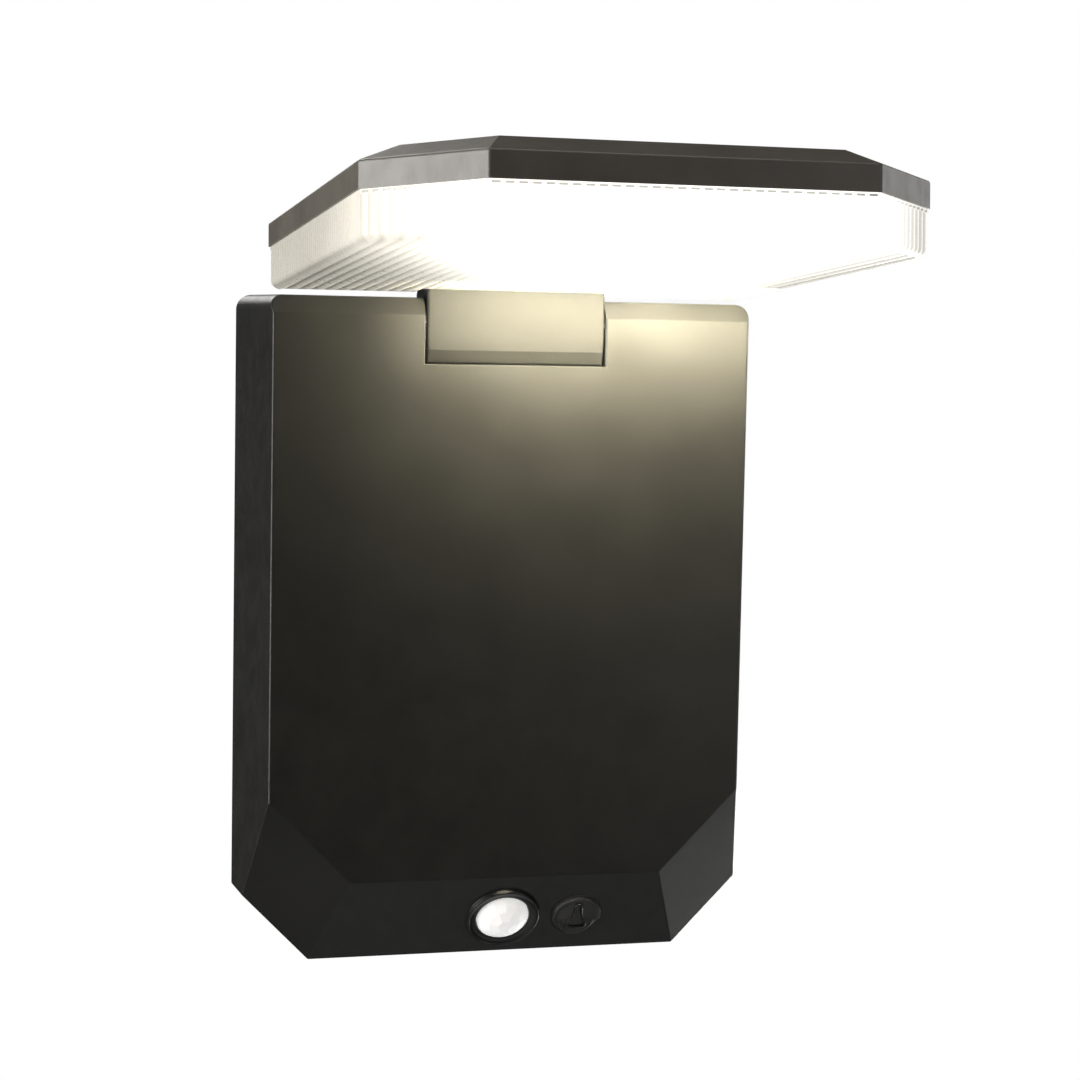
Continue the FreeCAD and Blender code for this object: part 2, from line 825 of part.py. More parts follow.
def pir_bezel():
    """The rounded ring round the sensor's lens, pressed into the apron by its neck."""
    ring = rod("bezel_ring", "up", ("0", "0", "0"), "bezel_radius", "bezel_height")
    neck = rod("bezel_neck", "up", ("0", "0", "-bezel_neck_depth"), "bezel_neck_radius",
               "bezel_neck_depth + bezel_height / 2")
    bore = rod("bezel_bore", "up", ("0", "0", "-bezel_neck_depth - overcut"),
               "lens_radius + screw_clearance",
               "bezel_neck_depth + bezel_height + bezel_crown_height + 2 * overcut")
    crown = doc.addObject("Part::Cone", "bezel_crown")
    bind(crown, Radius1="bezel_radius - 0.2", Radius2="lens_radius + bezel_crown_width",
         Height="bezel_crown_height", Placement__Base__z="bezel_height - 0.01")
    bezel = cut("bezel_cut", fuse("bezel_body", ring, neck, crown), bore)
    bind(bezel, Placement__Base__x="sensor_offset")
    return finished("pir_bezel", bezel, "apron")


def pir_lens():
    """The moulded dome over the sensor, with a flange behind the bezel."""
    top = "lens_collar + lens_height"
    curve = "(lens_radius^2 + lens_height^2) / (2 * lens_height)"
    length = f"{top} + lens_depth"
    outside = common(
        "lens_outside",
        rod("lens_wall_outside", "up", ("0", "0", "-lens_depth"), "lens_radius", length),
        ball("lens_dome_outside", ("0", "0", f"{top} - {curve}"), curve),
    )
    inside = common(
        "lens_inside",
        rod("lens_wall_inside", "up", ("0", "0", "-lens_depth - overcut"),
            "lens_radius - lens_wall", length),
        ball("lens_dome_inside", ("0", "0", f"{top} - {curve}"), f"{curve} - lens_wall"),
    )
    flange = rod("lens_flange", "up", ("0", "0", "-lens_depth"), "bezel_neck_radius", "lens_flange")
    lens = cut("lens_cut", fuse("lens_with_flange", outside, flange), inside)
    bind(lens, Placement__Base__x="sensor_offset")
    return finished("pir_lens", lens, "apron")


def pir_sensor():
    """The metal-cased detector behind the lens."""
    start = ("0", "0", "-sensor_board_depth")
    can = rod("sensor_can", "up", start, "sensor_can_radius", "sensor_can_height")
    rim = rod("sensor_rim", "up", start, "sensor_rim_radius", "sensor_rim_height")
    sensor = fuse("sensor_case", can, rim)
    bind(sensor, Placement__Base__x="sensor_offset")
    return finished("pir_sensor", sensor, "apron")


def sensor_board():
    """The small board behind the apron that carries the detector and the switch."""
    plate = box("sensor_plate",
                ("-sensor_board_left", "-sensor_board_low",
                 "-sensor_board_depth - sensor_board_thickness"),
                ("sensor_board_right", "sensor_board_high", "-sensor_board_depth"))
    return finished("sensor_board", plate, "apron")


def button_switch():
    """The tactile switch under the push button."""
    top = "-sensor_board_depth + switch_height"
    case = box("switch_case",
               ("-switch_half_width", "-switch_half_width", "-sensor_board_depth"),
               ("switch_half_width", "switch_half_width", top))
    plunger = rod("switch_plunger", "up", ("0", "0", top), "switch_plunger_radius",
                  "switch_plunger_height")
    switch = fuse("switch_body", case, plunger)
    bind(switch, Placement__Base__x="button_offset")
    return finished("button_switch", switch, "apron")


def button_cap():
    """The soft push button: a crowned cap, a flange that keeps it in, and a stem."""
    curve = "(button_radius^2 + button_crown^2) / (2 * button_crown)"
    flange_low = "-button_skirt - button_flange_height"
    cap = common(
        "cap_crowned",
        rod("cap_wall", "up", ("0", "0", "-button_skirt"), "button_radius",
            "button_skirt + button_height + button_crown"),
        ball("cap_crown", ("0", "0", f"button_height + button_crown - {curve}"), curve),
    )
    flange = rod("cap_flange", "up", ("0", "0", flange_low), "button_flange",
                 "button_flange_height")
    stem = rod("cap_stem", "up", ("0", "0", f"{flange_low} - button_flange_height"),
               "button_stem_radius", "button_flange_height + screw_clearance")
    button = fuse("button_body", cap, flange, stem)
    bind(button, Placement__Base__x="button_offset")
    return finished("button_cap", button, "apron")


# ---------------------------------------------------------------- hinge


def hinge_arm():
    """The block that turns in the pocket and rises through the diffuser's notch to the head."""
    body = doc.addObject("PartDesign::Body", "arm_profile")
    sketch = body.newObject("Sketcher::SketchObject", "arm_outline")
    sketch.AttachmentSupport = [(origin_plane(body, "YZ_Plane"), "")]
    sketch.MapMode = "FlatFace"
    bind(sketch, AttachmentOffset__Base__z="-arm_width / 2")
    toe_drop = "sqrt(barrel_radius^2 - arm_chin_toe^2)"
    heel_rise = "sqrt(barrel_radius^2 - arm_heel^2)"
    corners = [
        ("arm_heel", heel_rise),
        ("arm_heel", f"{heel_rise} + arm_heel_wall"),
        ("arm_waist", "arm_waist_height"),
        ("arm_waist", "arm_top - arm_tongue_height"),
        ("arm_tongue", "arm_top - arm_tongue_height"),
        ("arm_tongue", "arm_top"),
        ("-arm_face", "arm_top"),
        ("-arm_face", "-arm_chin"),
        ("-arm_chin_toe", f"-{toe_drop}"),
    ]
    rough_corners = ((10, 7), (10, 9), (5, 15), (5, 22), (3, 22), (3, 24), (-6, 24), (-6, -8), (-5, -12))
    guesses = [FreeCAD.Vector(*point) for point in rough_corners]
    for first, last in zip(guesses, guesses[1:]):
        sketch.addGeometry(Part.LineSegment(first, last), False)
    circle = Part.Circle(FreeCAD.Vector(), FreeCAD.Vector(0, 0, 1), size_of("barrel_radius"))
    start, stop = math.atan2(-12, -5), math.atan2(7, 10)
    sketch.addGeometry(Part.ArcOfCircle(circle, start, stop), False)
    arc = len(guesses) - 1
    for i in range(arc - 1):
        sketch.addConstraint(Sketcher.Constraint("Coincident", i, 2, i + 1, 1))
    sketch.addConstraint(Sketcher.Constraint("Coincident", arc - 1, 2, arc, 1))
    sketch.addConstraint(Sketcher.Constraint("Coincident", arc, 2, 0, 1))
    sketch.addConstraint(Sketcher.Constraint("Coincident", arc, 3, -1, 1))
    places = [(i, 1) for i in range(arc)] + [(arc - 1, 2)]
    for (line, end), (across, along), guess in zip(places, corners, guesses):
        level = sketch.addConstraint(Sketcher.Constraint("DistanceY", -1, 1, line, end, guess.y))
        sketch.setExpression(f"Constraints[{level}]", formula(along))
        if line == 0 or (line, end) == places[-1]:
            continue
        index = sketch.addConstraint(Sketcher.Constraint("DistanceX", -1, 1, line, end, guess.x))
        sketch.setExpression(f"Constraints[{index}]", formula(across))
    radius = sketch.addConstraint(Sketcher.Constraint("Radius", arc, size_of("barrel_radius")))
    sketch.setExpression(f"Constraints[{radius}]", formula("barrel_radius"))
    pad = body.newObject("PartDesign::Pad", "arm_pad")
    pad.Profile = sketch
    bind(pad, Length="arm_width")
    front = -size_of("arm_chin_toe") + 0.5

    def showing(middle, way):
        return middle.y < front and middle.z < size_of("head_rise") + 3

    round_edges(body, "arm_edges", "edge_radius", showing)
    pin_way = rod("arm_pin_way", "right", ("-arm_width / 2 - overcut", "0", "0"),
                  "pin_radius + assembly_gap", "arm_width + 2 * overcut")
    bush_ways, washer_ways = [], []
    for i, sign in enumerate((-1, 1)):
        bush_start = bush_place(sign)
        bush_ways.append(rod(f"bush_way_{i}", "right", (bush_start, "0", "0"), "bush_radius",
                             "bush_length"))
        washer_start = ("-arm_width / 2 - overcut" if sign < 0
                        else "arm_width / 2 - washer_seat_depth")
        washer_ways.append(rod(f"washer_way_{i}", "right", (washer_start, "0", "0"),
                               "washer_radius + screw_clearance", "washer_seat_depth + overcut"))
    screw_ways = [
        rod(f"arm_screw_way_{i}", "up",
            (x, "arm_screw_line", "arm_top - arm_screw_length - overcut"), "screw_radius",
            "arm_screw_length + 3 * overcut")
        for i, x in enumerate(arm_screw_places())
    ]
    arm = cut("hinge_arm_cut", body, pin_way, *bush_ways, *washer_ways, *screw_ways)
    return finished("hinge_arm", arm, "hinge")


def bush_place(sign):
    """Where a bush starts along the pin: just inside the washer seat at each end of the arm."""
    seat = "arm_width / 2 - washer_seat_depth"
    return f"-({seat})" if sign < 0 else f"{seat} - bush_length"


def arm_screw_places():
    """The four arm screws, by sideways place."""
    return [f"{share} * arm_width" for share in (-0.4, -0.15, 0.15, 0.4)]


def hinge_bushes():
    """Two plain sleeves in the arm that turn on the pin."""
    sleeves = []
    for i, sign in enumerate((-1, 1)):
        start = (bush_place(sign), "0", "0")
        sleeve = rod(f"bush_outside_{i}", "right", start, "bush_radius", "bush_length")
        bore = rod(f"bush_bore_{i}", "right", start, "pin_radius + pin_clearance", "bush_length")
        sleeves.append(cut(f"bush_{i}", sleeve, bore))
    return finished("hinge_bushes", sleeves, "hinge")


def friction_washers():
    """Two friction washers between the arm's ends and the pocket's walls."""
    rings = []
    for i, sign in enumerate((-1, 1)):
        seat = "arm_width / 2 - washer_seat_depth"
        start = (f"-({seat}) - washer_thickness" if sign < 0 else seat, "0", "0")
        disc = rod(f"washer_disc_{i}", "right", start, "washer_radius", "washer_thickness")
        bore = rod(f"washer_bore_{i}", "right", start, "pin_radius + screw_clearance",
                   "washer_thickness")
        rings.append(cut(f"washer_{i}", disc, bore))
    return finished("friction_washers", rings, "hinge")


def hinge_pin():
    """The steel pin across the pocket, fixed in the shell's bosses."""
    pin = rod("pin", "right", ("-pin_half_length", "0", "0"), "pin_radius", "2 * pin_half_length")
    grooves = [
        cut(f"groove_{i}",
            rod(f"groove_outside_{i}", "right", (start, "0", "0"), "pin_radius + overcut",
                "clip_groove_width"),
            rod(f"groove_core_{i}", "right", (start, "0", "0"), "pin_radius - clip_groove_depth",
                "clip_groove_width"))
        for i, start in enumerate(clip_starts())
    ]
    return finished("hinge_pin", cut("pin_grooved", pin, *grooves), "hinge")


def clip_starts():
    """Where the two pin grooves start along X, just outside the bosses."""
    reach = "pocket_width / 2 + shell_wall + pin_boss_length"
    return (f"{reach} + pin_clearance", f"-({reach}) - pin_clearance - clip_groove_width")


def pin_clips():
    """Two spring clips that snap into the pin's grooves."""
    clips = []
    for i, start in enumerate(clip_starts()):
        place = (f"{start} + (clip_groove_width - clip_thickness) / 2", "0", "0")
        disc = rod(f"clip_disc_{i}", "right", place, "pin_radius + clip_rim", "clip_thickness")
        hole = rod(f"clip_hole_{i}", "right", place,
                   "pin_radius - clip_groove_depth + pin_clearance", "clip_thickness")
        mouth = box(f"clip_mouth_{i}",
                    (start, "-clip_mouth_half_width", "-pin_radius - clip_rim - overcut"),
                    (f"{start} + overcut", "clip_mouth_half_width", "0"))
        clips.append(cut(f"clip_{i}", disc, hole, mouth))
    return finished("pin_clips", clips, "hinge")


# ---------------------------------------------------------------- folding head


def notch_space(name, extra, low, high):
    """The space that the arm takes out of the head's back, grown by a margin."""
    half = f"arm_width / 2 + notch_gap + ({extra})"
    return box(name, (f"-({half})", f"-arm_face - notch_gap - arm_lean - ({extra})", low),
               (half, "head_back + overcut", high))


def diffuser():
    """The clear tray under the lamps, with a notch at the back for the arm."""
    rim = "head_rise + diffuser_height"
    outside = prism("diffuser_outside", "XY_Plane", "head_rise", "diffuser_height",
                    head_outline("diffuser_inset"))
    low = size_of("head_rise")

    def lower_edge(middle, way):
        return abs(middle.z - low) < 0.01

    round_edges(outside, "diffuser_rounding", "diffuser_edge_radius", lower_edge)
    lip = prism("diffuser_lip_outside", "XY_Plane", f"{rim} - overcut", "overcut + diffuser_lip",
                head_outline("shell_wall + lip_gap"))
    inside = prism("diffuser_inside", "XY_Plane", "head_rise + diffuser_wall",
                   "diffuser_height + diffuser_lip", head_outline("shell_wall + lip_gap + lip_wall"))
    kept_wall = notch_space("diffuser_notch_wall", "diffuser_wall", "head_rise",
                            f"{rim} + diffuser_lip + overcut")
    hollow = cut("diffuser_hollow", inside, kept_wall)
    notch = notch_space("diffuser_notch", "0", "head_rise - overcut",
                        f"{rim} + diffuser_lip + 2 * overcut")
    tray = cut("diffuser_cut", fuse("diffuser_block", outside, lip), hollow, notch)
    return finished("diffuser", tray, "head")


def head_seal():
    """The gasket between the diffuser's lip and the cover."""
    low = "head_rise + diffuser_height + diffuser_lip"
    ring = cut(
        "head_seal_ring",
        prism("head_seal_outside", "XY_Plane", low, "head_seal_height",
              head_outline("shell_wall + lip_gap")),
        prism("head_seal_inside", "XY_Plane", f"{low} - overcut", "head_seal_height + 2 * overcut",
              head_outline("shell_wall + lip_gap + lip_wall")),
        notch_space("head_seal_notch", "screw_clearance", f"{low} - overcut",
                    f"{low} + head_seal_height + overcut"),
    )
    return finished("head_seal", ring, "head")


def head_cover():
    """The lamp's roof: an upright rim and a bevel up to a flat top that holds the solar panel."""
    rim_low = "head_rise + diffuser_height"
    rim_high = f"{rim_low} + rim_height"
    top = f"{rim_high} + roof_height"
    outside = prism("head_cover_outside", "XY_Plane", rim_low, "rim_height", head_outline())
    roof = [(rim_high, head_outline()), (top, head_outline("roof_inset"))]
    loft("head_cover_roof", "XY_Plane", roof, outside)
    low = size_of("head_rise") + size_of("diffuser_height")

    def above_the_rim(middle, way):
        return middle.z > low + 0.01

    round_edges(outside, "head_cover_rounding", "edge_radius", above_the_rim)
    cavity = prism("head_cover_cavity", "XY_Plane", f"{rim_low} - overcut", "rim_height + overcut",
                   head_outline("shell_wall"))
    roof_space = prism("head_cover_roof_space", "XY_Plane", f"{rim_high} - overcut",
                       "roof_height - roof_wall", head_outline("roof_inset + overcut"))
    tray = prism("panel_recess", "XY_Plane", f"{top} - panel_sheet - panel_cell - panel_glass",
                 "roof_height", head_outline("panel_inset"))
    posts = [
        rod(f"led_post_{i}", "up", (x, y, "led_board_top"), "boss_radius",
            f"{top} - arm_pad_depth - (led_board_top)")
        for i, (x, y) in enumerate(led_screw_places())
    ]
    arm_pad = box("arm_pad_block",
                  ("-arm_width / 2", "-arm_face - arm_pad_depth", "arm_top + arm_pad_clearance"),
                  ("arm_width / 2", "head_back - arm_pad_back", f"{rim_high} + overcut"))
    hollow = cut("head_cover_hollow", outside, cavity, roof_space, tray)
    bores = [
        rod(f"led_post_bore_{i}", "up", (x, y, "led_board_top - overcut"), "screw_radius",
            "led_screw_length")
        for i, (x, y) in enumerate(led_screw_places())
    ]
    cover = cut("head_cover_cut", fuse("head_cover_body", hollow, arm_pad, *posts), *bores)
    return finished("head_cover", cover, "head")


def led_screw_places():
    """The lamp board's four screws, in the head's plan."""
    return [(f"{sign} * head_width * led_screw_side", f"head_back - {share} * head_length")
            for share in ("led_screw_back", "led_screw_nose")
            for sign in (-1, 1)]


def led_board():
    """The white lamp board, cut away round the arm."""
    plate = prism("led_plate", "XY_Plane", "led_board_top - board_thickness", "board_thickness",
                  head_outline("led_board_inset"))
    notch = notch_space("led_board_notch", "diffuser_wall + notch_gap", "0",
                        "led_board_top + overcut")
    bores = [
        rod(f"led_plate_bore_{i}", "up",
            (x, y, "led_board_top - board_thickness - overcut"),
            "screw_radius + screw_clearance", "board_thickness + 2 * overcut")
        for i, (x, y) in enumerate(led_screw_places())
    ]
    return finished("led_board", cut("led_board_cut", plate, notch, *bores), "head")


def led_chips():
    """The lamp packages on the board's lower face: six columns of eight."""
    face = "led_board_top - board_thickness"
    columns, lines = 6, 8
    chips = []
    for column in range(columns):
        for line in range(lines):
            x = f"({column - (columns - 1) / 2}) * led_pitch_x"
            middle = "head_back - head_length / 2 - led_shift"
            y = f"{middle} + ({line - (lines - 1) / 2}) * led_pitch_y"
            chips.append(box(f"chip_{column}_{line}",
                             (f"{x} - led_length / 2", f"{y} - led_width / 2", f"{face} - led_height"),
                             (f"{x} + led_length / 2", f"{y} + led_width / 2", face)))
    return finished("led_chips", chips, "head")


def led_board_screws():
    """Four screws that hold the lamp board up to the cover."""
    face = "led_board_top - board_thickness"
    screws = []
    for i, (x, y) in enumerate(led_screw_places()):
        head = rod(f"led_screw_head_{i}", "up", (x, y, f"{face} - screw_head_height"),
                   "screw_head_radius", "screw_head_height")
        shank = rod(f"led_screw_shank_{i}", "up", (x, y, f"{face} - overcut / 10"), "screw_radius",
                    "led_screw_length")
        screws.append(fuse(f"led_screw_{i}", head, shank))
    return finished("led_board_screws", screws, "head")


def solar_panel():
    """The roof's solar panel as three layers: backing sheet, cells and glass."""
    top = "head_rise + diffuser_height + rim_height + roof_height"
    low = f"{top} - panel_sheet - panel_cell - panel_glass"
    inset = "panel_inset + assembly_gap"
    backing = prism("solar_sheet", "XY_Plane", low, "panel_sheet", head_outline(inset))
    glass = prism("solar_pane", "XY_Plane", f"{low} + panel_sheet + panel_cell", "panel_glass",
                  head_outline(inset))
    field_width = "(head_width - 2 * panel_inset - 2 * cell_border)"
    field_length = "(head_length - 2 * panel_inset - 2 * cell_border)"
    columns, lines = 4, 6
    tiles = []
    for column in range(columns):
        for line in range(lines):
            left = f"-{field_width} / 2 + {column} * {field_width} / {columns} + cell_gap / 2"
            back = (f"head_back - panel_inset - cell_border - {line} * {field_length} / {lines}"
                    " - cell_gap / 2")
            tiles.append(box(
                f"tile_{column}_{line}",
                (left, f"{back} - {field_length} / {lines} + cell_gap", f"{low} + panel_sheet"),
                (f"{left} + {field_width} / {columns} - cell_gap", back,
                 f"{low} + panel_sheet + panel_cell"),
            ))
    within = prism("solar_cell_field", "XY_Plane", low, "roof_height",
                   head_outline(f"{inset} + cell_border - overcut"))
    finished("solar_backing", backing, "head")
    finished("solar_cells", common("solar_cells_trimmed", group("solar_tiles", tiles), within), "head")
    finished("solar_glass", glass, "head")


def arm_screws():
    """Four screws up through the roof pad's side of the arm."""
    return finished("arm_screws", [
        rod(f"arm_screw_{i}", "up", (x, "arm_screw_line", "arm_top - arm_screw_length"), "screw_radius",
            "arm_screw_length")
        for i, x in enumerate(arm_screw_places())
    ], "hinge")


def write_parts():
    """Check every object, then write each sub-part to its own file."""
    doc.recompute()
    failed = [item.Name for item in doc.Objects if {"Invalid", "Error"} & set(item.State)]
    if failed:
        raise RuntimeError(f"failed features: {failed}")
    os.makedirs("parts", exist_ok=True)
    for item in subparts:
        shape = item.Shape
        if shape.isNull() or not shape.isValid() or not shape.Solids:
            raise RuntimeError(f"{item.Label} is not a valid solid")
    for item in subparts:
        item.Shape.exportStep(f"parts/{item.Label}.step")
        print(f"{item.Label}: {len(item.Shape.Solids)} solid(s), {item.Shape.Volume:.0f} mm3")


for make in (
    body_shell, back_cover, back_seal, back_cover_screws, wall_bracket,
    battery_cells, battery_holder, battery_contacts,
    driver_board, driver_components, driver_screws,
    pir_bezel, pir_lens, pir_sensor, sensor_board, button_switch, button_cap,
    hinge_arm, hinge_bushes, friction_washers, hinge_pin, pin_clips,
    head_cover, diffuser, head_seal, led_board, led_chips, led_board_screws, arm_screws,
    solar_panel,
):
    make()
write_parts()
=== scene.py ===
import json
from math import cos, pi, radians, sin, sqrt

import bpy
from mathutils import Matrix, Vector


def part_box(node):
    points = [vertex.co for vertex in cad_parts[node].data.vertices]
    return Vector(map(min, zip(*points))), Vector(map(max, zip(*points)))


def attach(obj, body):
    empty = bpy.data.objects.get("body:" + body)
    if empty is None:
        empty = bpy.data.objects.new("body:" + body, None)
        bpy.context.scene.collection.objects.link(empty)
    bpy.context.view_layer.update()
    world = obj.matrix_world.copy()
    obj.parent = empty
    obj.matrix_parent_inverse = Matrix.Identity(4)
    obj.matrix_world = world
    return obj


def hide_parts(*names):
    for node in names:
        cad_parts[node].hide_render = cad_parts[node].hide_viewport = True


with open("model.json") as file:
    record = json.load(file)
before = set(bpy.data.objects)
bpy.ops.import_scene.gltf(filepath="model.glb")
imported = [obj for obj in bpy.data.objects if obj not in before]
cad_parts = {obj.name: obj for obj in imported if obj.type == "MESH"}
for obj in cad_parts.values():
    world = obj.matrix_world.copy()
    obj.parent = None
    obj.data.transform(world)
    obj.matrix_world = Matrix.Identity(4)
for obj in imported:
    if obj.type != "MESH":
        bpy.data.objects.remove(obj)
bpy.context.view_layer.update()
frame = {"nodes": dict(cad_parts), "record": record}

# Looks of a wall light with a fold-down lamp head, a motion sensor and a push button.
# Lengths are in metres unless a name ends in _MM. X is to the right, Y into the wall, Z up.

MM = 0.001


def mm(*lengths):
    """Lengths given in millimetres, in metres."""
    return tuple(length * MM for length in lengths)


nodes = frame["nodes"]
joints = {joint["name"]: joint for joint in frame["record"]["behaviour"]["joints"]}

# ---------------------------------------------------------------- frames of the two moving bodies

REST_TILT = radians(-3.45)  # the head's nose stands a little above level at rest
HINGE = Vector(joints["head_tilt"]["pos_m"])
head_place = Matrix.Translation(HINGE) @ Matrix.Rotation(REST_TILT, 4, "X")

INWARD = Vector(joints["button_press"]["axis"])
APRON_MIDDLE = Vector((0, -15.03 * MM, -91.19 * MM))


def apron_frame():
    """The slanting apron's frame: X along the wall, Z straight out of the surface."""
    outward = -INWARD.normalized()
    right = Vector((1, 0, 0))
    up = outward.cross(right)
    turn = Matrix((right, up, outward)).transposed().to_4x4()
    return Matrix.Translation(APRON_MIDDLE) @ turn


apron_place = apron_frame()


# ---------------------------------------------------------------- materials

# The colour mixing node names several sockets alike, so its colours go by their numbers.
MIX_FIRST, MIX_SECOND, MIX_RESULT = 6, 7, 2
SHARP_COSINE, FLAT_COSINE = 0.75, 0.98  # between a face and the same face with soft edges


class Paint:
    """A material being made, with short ways to add the nodes that most of them share."""

    def __init__(self, name, **shader_values):
        self.material = bpy.data.materials.new(name)
        self.material.use_nodes = True
        self.tree = self.material.node_tree
        self.shader = self.tree.nodes["Principled BSDF"]
        for socket, value in shader_values.items():
            self.shader.inputs[socket.replace("_", " ")].default_value = value
        self.coordinates = self.add("ShaderNodeTexCoord").outputs["Object"]

    def add(self, kind, **settings):
        node = self.tree.nodes.new(kind)
        for name, value in settings.items():
            setattr(node, name, value)
        return node

    def link(self, output, socket):
        self.tree.links.new(output, socket)

    def stretched(self, stretch):
        """The object's coordinates, scaled differently along each axis."""
        mapping = self.add("ShaderNodeMapping")
        mapping.inputs["Scale"].default_value = stretch
        self.link(self.coordinates, mapping.inputs["Vector"])
        return mapping.outputs["Vector"]

    def noise(self, scale, detail=3.0, stretch=(1, 1, 1)):
        """Smooth noise from 0 to 1 with features about 1/scale metres across."""
        node = self.add("ShaderNodeTexNoise")
        node.inputs["Scale"].default_value = scale
        node.inputs["Detail"].default_value = detail
        self.link(self.stretched(stretch), node.inputs["Vector"])
        return node.outputs["Fac"]

    def cells(self, scale):
        """Distance to the nearest of many scattered points, for pitted or sandy grain."""
        node = self.add("ShaderNodeTexVoronoi")
        node.inputs["Scale"].default_value = scale
        self.link(self.coordinates, node.inputs["Vector"])
        return node.outputs["Distance"]

    def span(self, value, low, high, start=0.35, end=0.65):
        """Maps a value that runs from start to end onto low to high."""
        node = self.add("ShaderNodeMapRange")
        self.link(value, node.inputs["Value"])
        for socket, number in (("From Min", start), ("From Max", end),
                               ("To Min", low), ("To Max", high)):
            node.inputs[socket].default_value = number
        return node.outputs["Result"]

    def math(self, operation, first, second):
        """A sum, product and so on of two values, each a number or a socket."""
        node = self.add("ShaderNodeMath", operation=operation)
        for socket, value in zip(node.inputs, (first, second)):
            if isinstance(value, (int, float)):
                socket.default_value = value
            else:
                self.link(value, socket)
        return node.outputs["Value"]

    def blend(self, factor, first, second):
        """Mixes two colours, each given as numbers or as a socket."""
        node = self.add("ShaderNodeMix", data_type="RGBA")
        self.link(factor, node.inputs["Factor"])
        for number, colour in ((MIX_FIRST, first), (MIX_SECOND, second)):
            socket = node.inputs[number]
            if isinstance(colour, tuple):
                socket.default_value = (*colour, 1)
            else:
                self.link(colour, socket)
        return node.outputs[MIX_RESULT]

    def wear_and_highlight_edges(self, radius):
        """1 on sharp edges of the shape and 0 on its flats."""
        bevel = self.add("ShaderNodeBevel", samples=4)
        bevel.inputs["Radius"].default_value = radius
        geometry = self.add("ShaderNodeNewGeometry")
        dot = self.add("ShaderNodeVectorMath", operation="DOT_PRODUCT")
        self.link(bevel.outputs["Normal"], dot.inputs[0])
        self.link(geometry.outputs["Normal"], dot.inputs[1])
        return self.span(dot.outputs["Value"], 1.0, 0.0, SHARP_COSINE, FLAT_COSINE)

    def bump(self, height, depth, under=None):
        """Raises the surface by a height from 0 to 1, times a depth in metres."""
        node = self.add("ShaderNodeBump")
        node.inputs["Strength"].default_value = 1.0
        node.inputs["Distance"].default_value = depth
        self.link(height, node.inputs["Height"])
        if under is not None:
            self.link(under, node.inputs["Normal"])
        return node.outputs["Normal"]

    def colour(self, output):
        self.link(output, self.shader.inputs["Base Color"])

    def roughness(self, output):
        self.link(output, self.shader.inputs["Roughness"])

    def normal(self, output):
        self.link(output, self.shader.inputs["Normal"])


def scaled(colour, share):
    return tuple(share * channel for channel in colour)


MOTTLE = 0.12  # how far the colour wanders either way, as a share
MOTTLE_SCALE = 45
RUB_SCALE = 260
RUB_SPREAD = 0.03
PITS_PER_GRAIN = 1.7
# The edge lightening stands partly for edge wear and partly for a painted highlight on the edges.
EDGE_WEAR_AND_HIGHLIGHT_RADIUS = 0.5 * MM
EDGE_WEAR_AND_HIGHLIGHT_LIGHTENING = 3.0


def moulded(name, colour, roughness, grain=1500.0, depth=0.02 * MM, edge_wear_and_highlight=0.0,
            **shader_values):
    """Moulded plastic or rubber: spark-eroded grain, faint mottling, rubbed spots, and lighter
    edges that stand partly for rubbing and partly for a painted highlight.
    """
    paint = Paint(name, **shader_values)
    patches = paint.span(paint.noise(MOTTLE_SCALE, 4), 0, 1)
    tone = paint.blend(patches, scaled(colour, 1 - MOTTLE), scaled(colour, 1 + MOTTLE))
    if edge_wear_and_highlight:
        # painted highlight and edge wear: sharp edges are lightened towards three times the
        # colour
        worn_and_highlit = paint.math("MULTIPLY", paint.wear_and_highlight_edges(EDGE_WEAR_AND_HIGHLIGHT_RADIUS), edge_wear_and_highlight)
        tone = paint.blend(worn_and_highlit, tone, scaled(colour, EDGE_WEAR_AND_HIGHLIGHT_LIGHTENING))
    paint.colour(tone)
    rubbed = paint.noise(RUB_SCALE, 4, stretch=(1, 1, 0.6))
    paint.roughness(paint.span(rubbed, roughness - RUB_SPREAD, roughness + RUB_SPREAD))
    grainy = paint.bump(paint.noise(grain, 2), depth)
    pits = paint.cells(grain * PITS_PER_GRAIN)
    paint.normal(paint.bump(pits, depth / 2, under=grainy))
    return paint.material


PLATING_SCALE = 90
STREAK_SCALE = 700
STREAK_DEPTH = 0.008 * MM


def metal(name, colour, roughness, streak=(1, 1, 1)):
    """Plated or rolled metal: cloudy plating, and fine marks that may be drawn out in a
    direction. The marks are long along an axis whose streak value is small."""
    paint = Paint(name, Metallic=1.0)
    clouds = paint.span(paint.noise(PLATING_SCALE, 5), 0, 1)
    paint.colour(paint.blend(clouds, scaled(colour, 0.8), scaled(colour, 1.1)))
    streaks = paint.noise(STREAK_SCALE, 3, stretch=streak)
    paint.roughness(paint.span(streaks, roughness - 0.08, roughness + 0.1))
    paint.normal(paint.bump(streaks, STREAK_DEPTH))
    return paint.material


def body_plastic():
    return moulded("body_plastic", (0.0125, 0.0122, 0.0115), 0.40, edge_wear_and_highlight=0.25,
                   Specular_IOR_Level=0.42)


def cover_plastic():
    return moulded("cover_plastic", (0.016, 0.016, 0.016), 0.55, grain=1100, edge_wear_and_highlight=0.3)


def head_plastic():
    return moulded("head_plastic", (0.113, 0.103, 0.087), 0.38, edge_wear_and_highlight=0.25,
                   Specular_IOR_Level=0.6)


def arm_plastic():
    return moulded("arm_plastic", (0.0095, 0.0093, 0.0088), 0.42, edge_wear_and_highlight=0.25)


def bezel_plastic():
    return moulded("bezel_plastic", (0.012, 0.012, 0.012), 0.34, depth=0.008 * MM, edge_wear_and_highlight=0.1)


def button_rubber():
    return moulded("button_rubber", (0.055, 0.054, 0.051), 0.5, grain=900, depth=0.015 * MM)


def seal_rubber():
    return moulded("seal_rubber", (0.018, 0.018, 0.018), 0.7, grain=700)


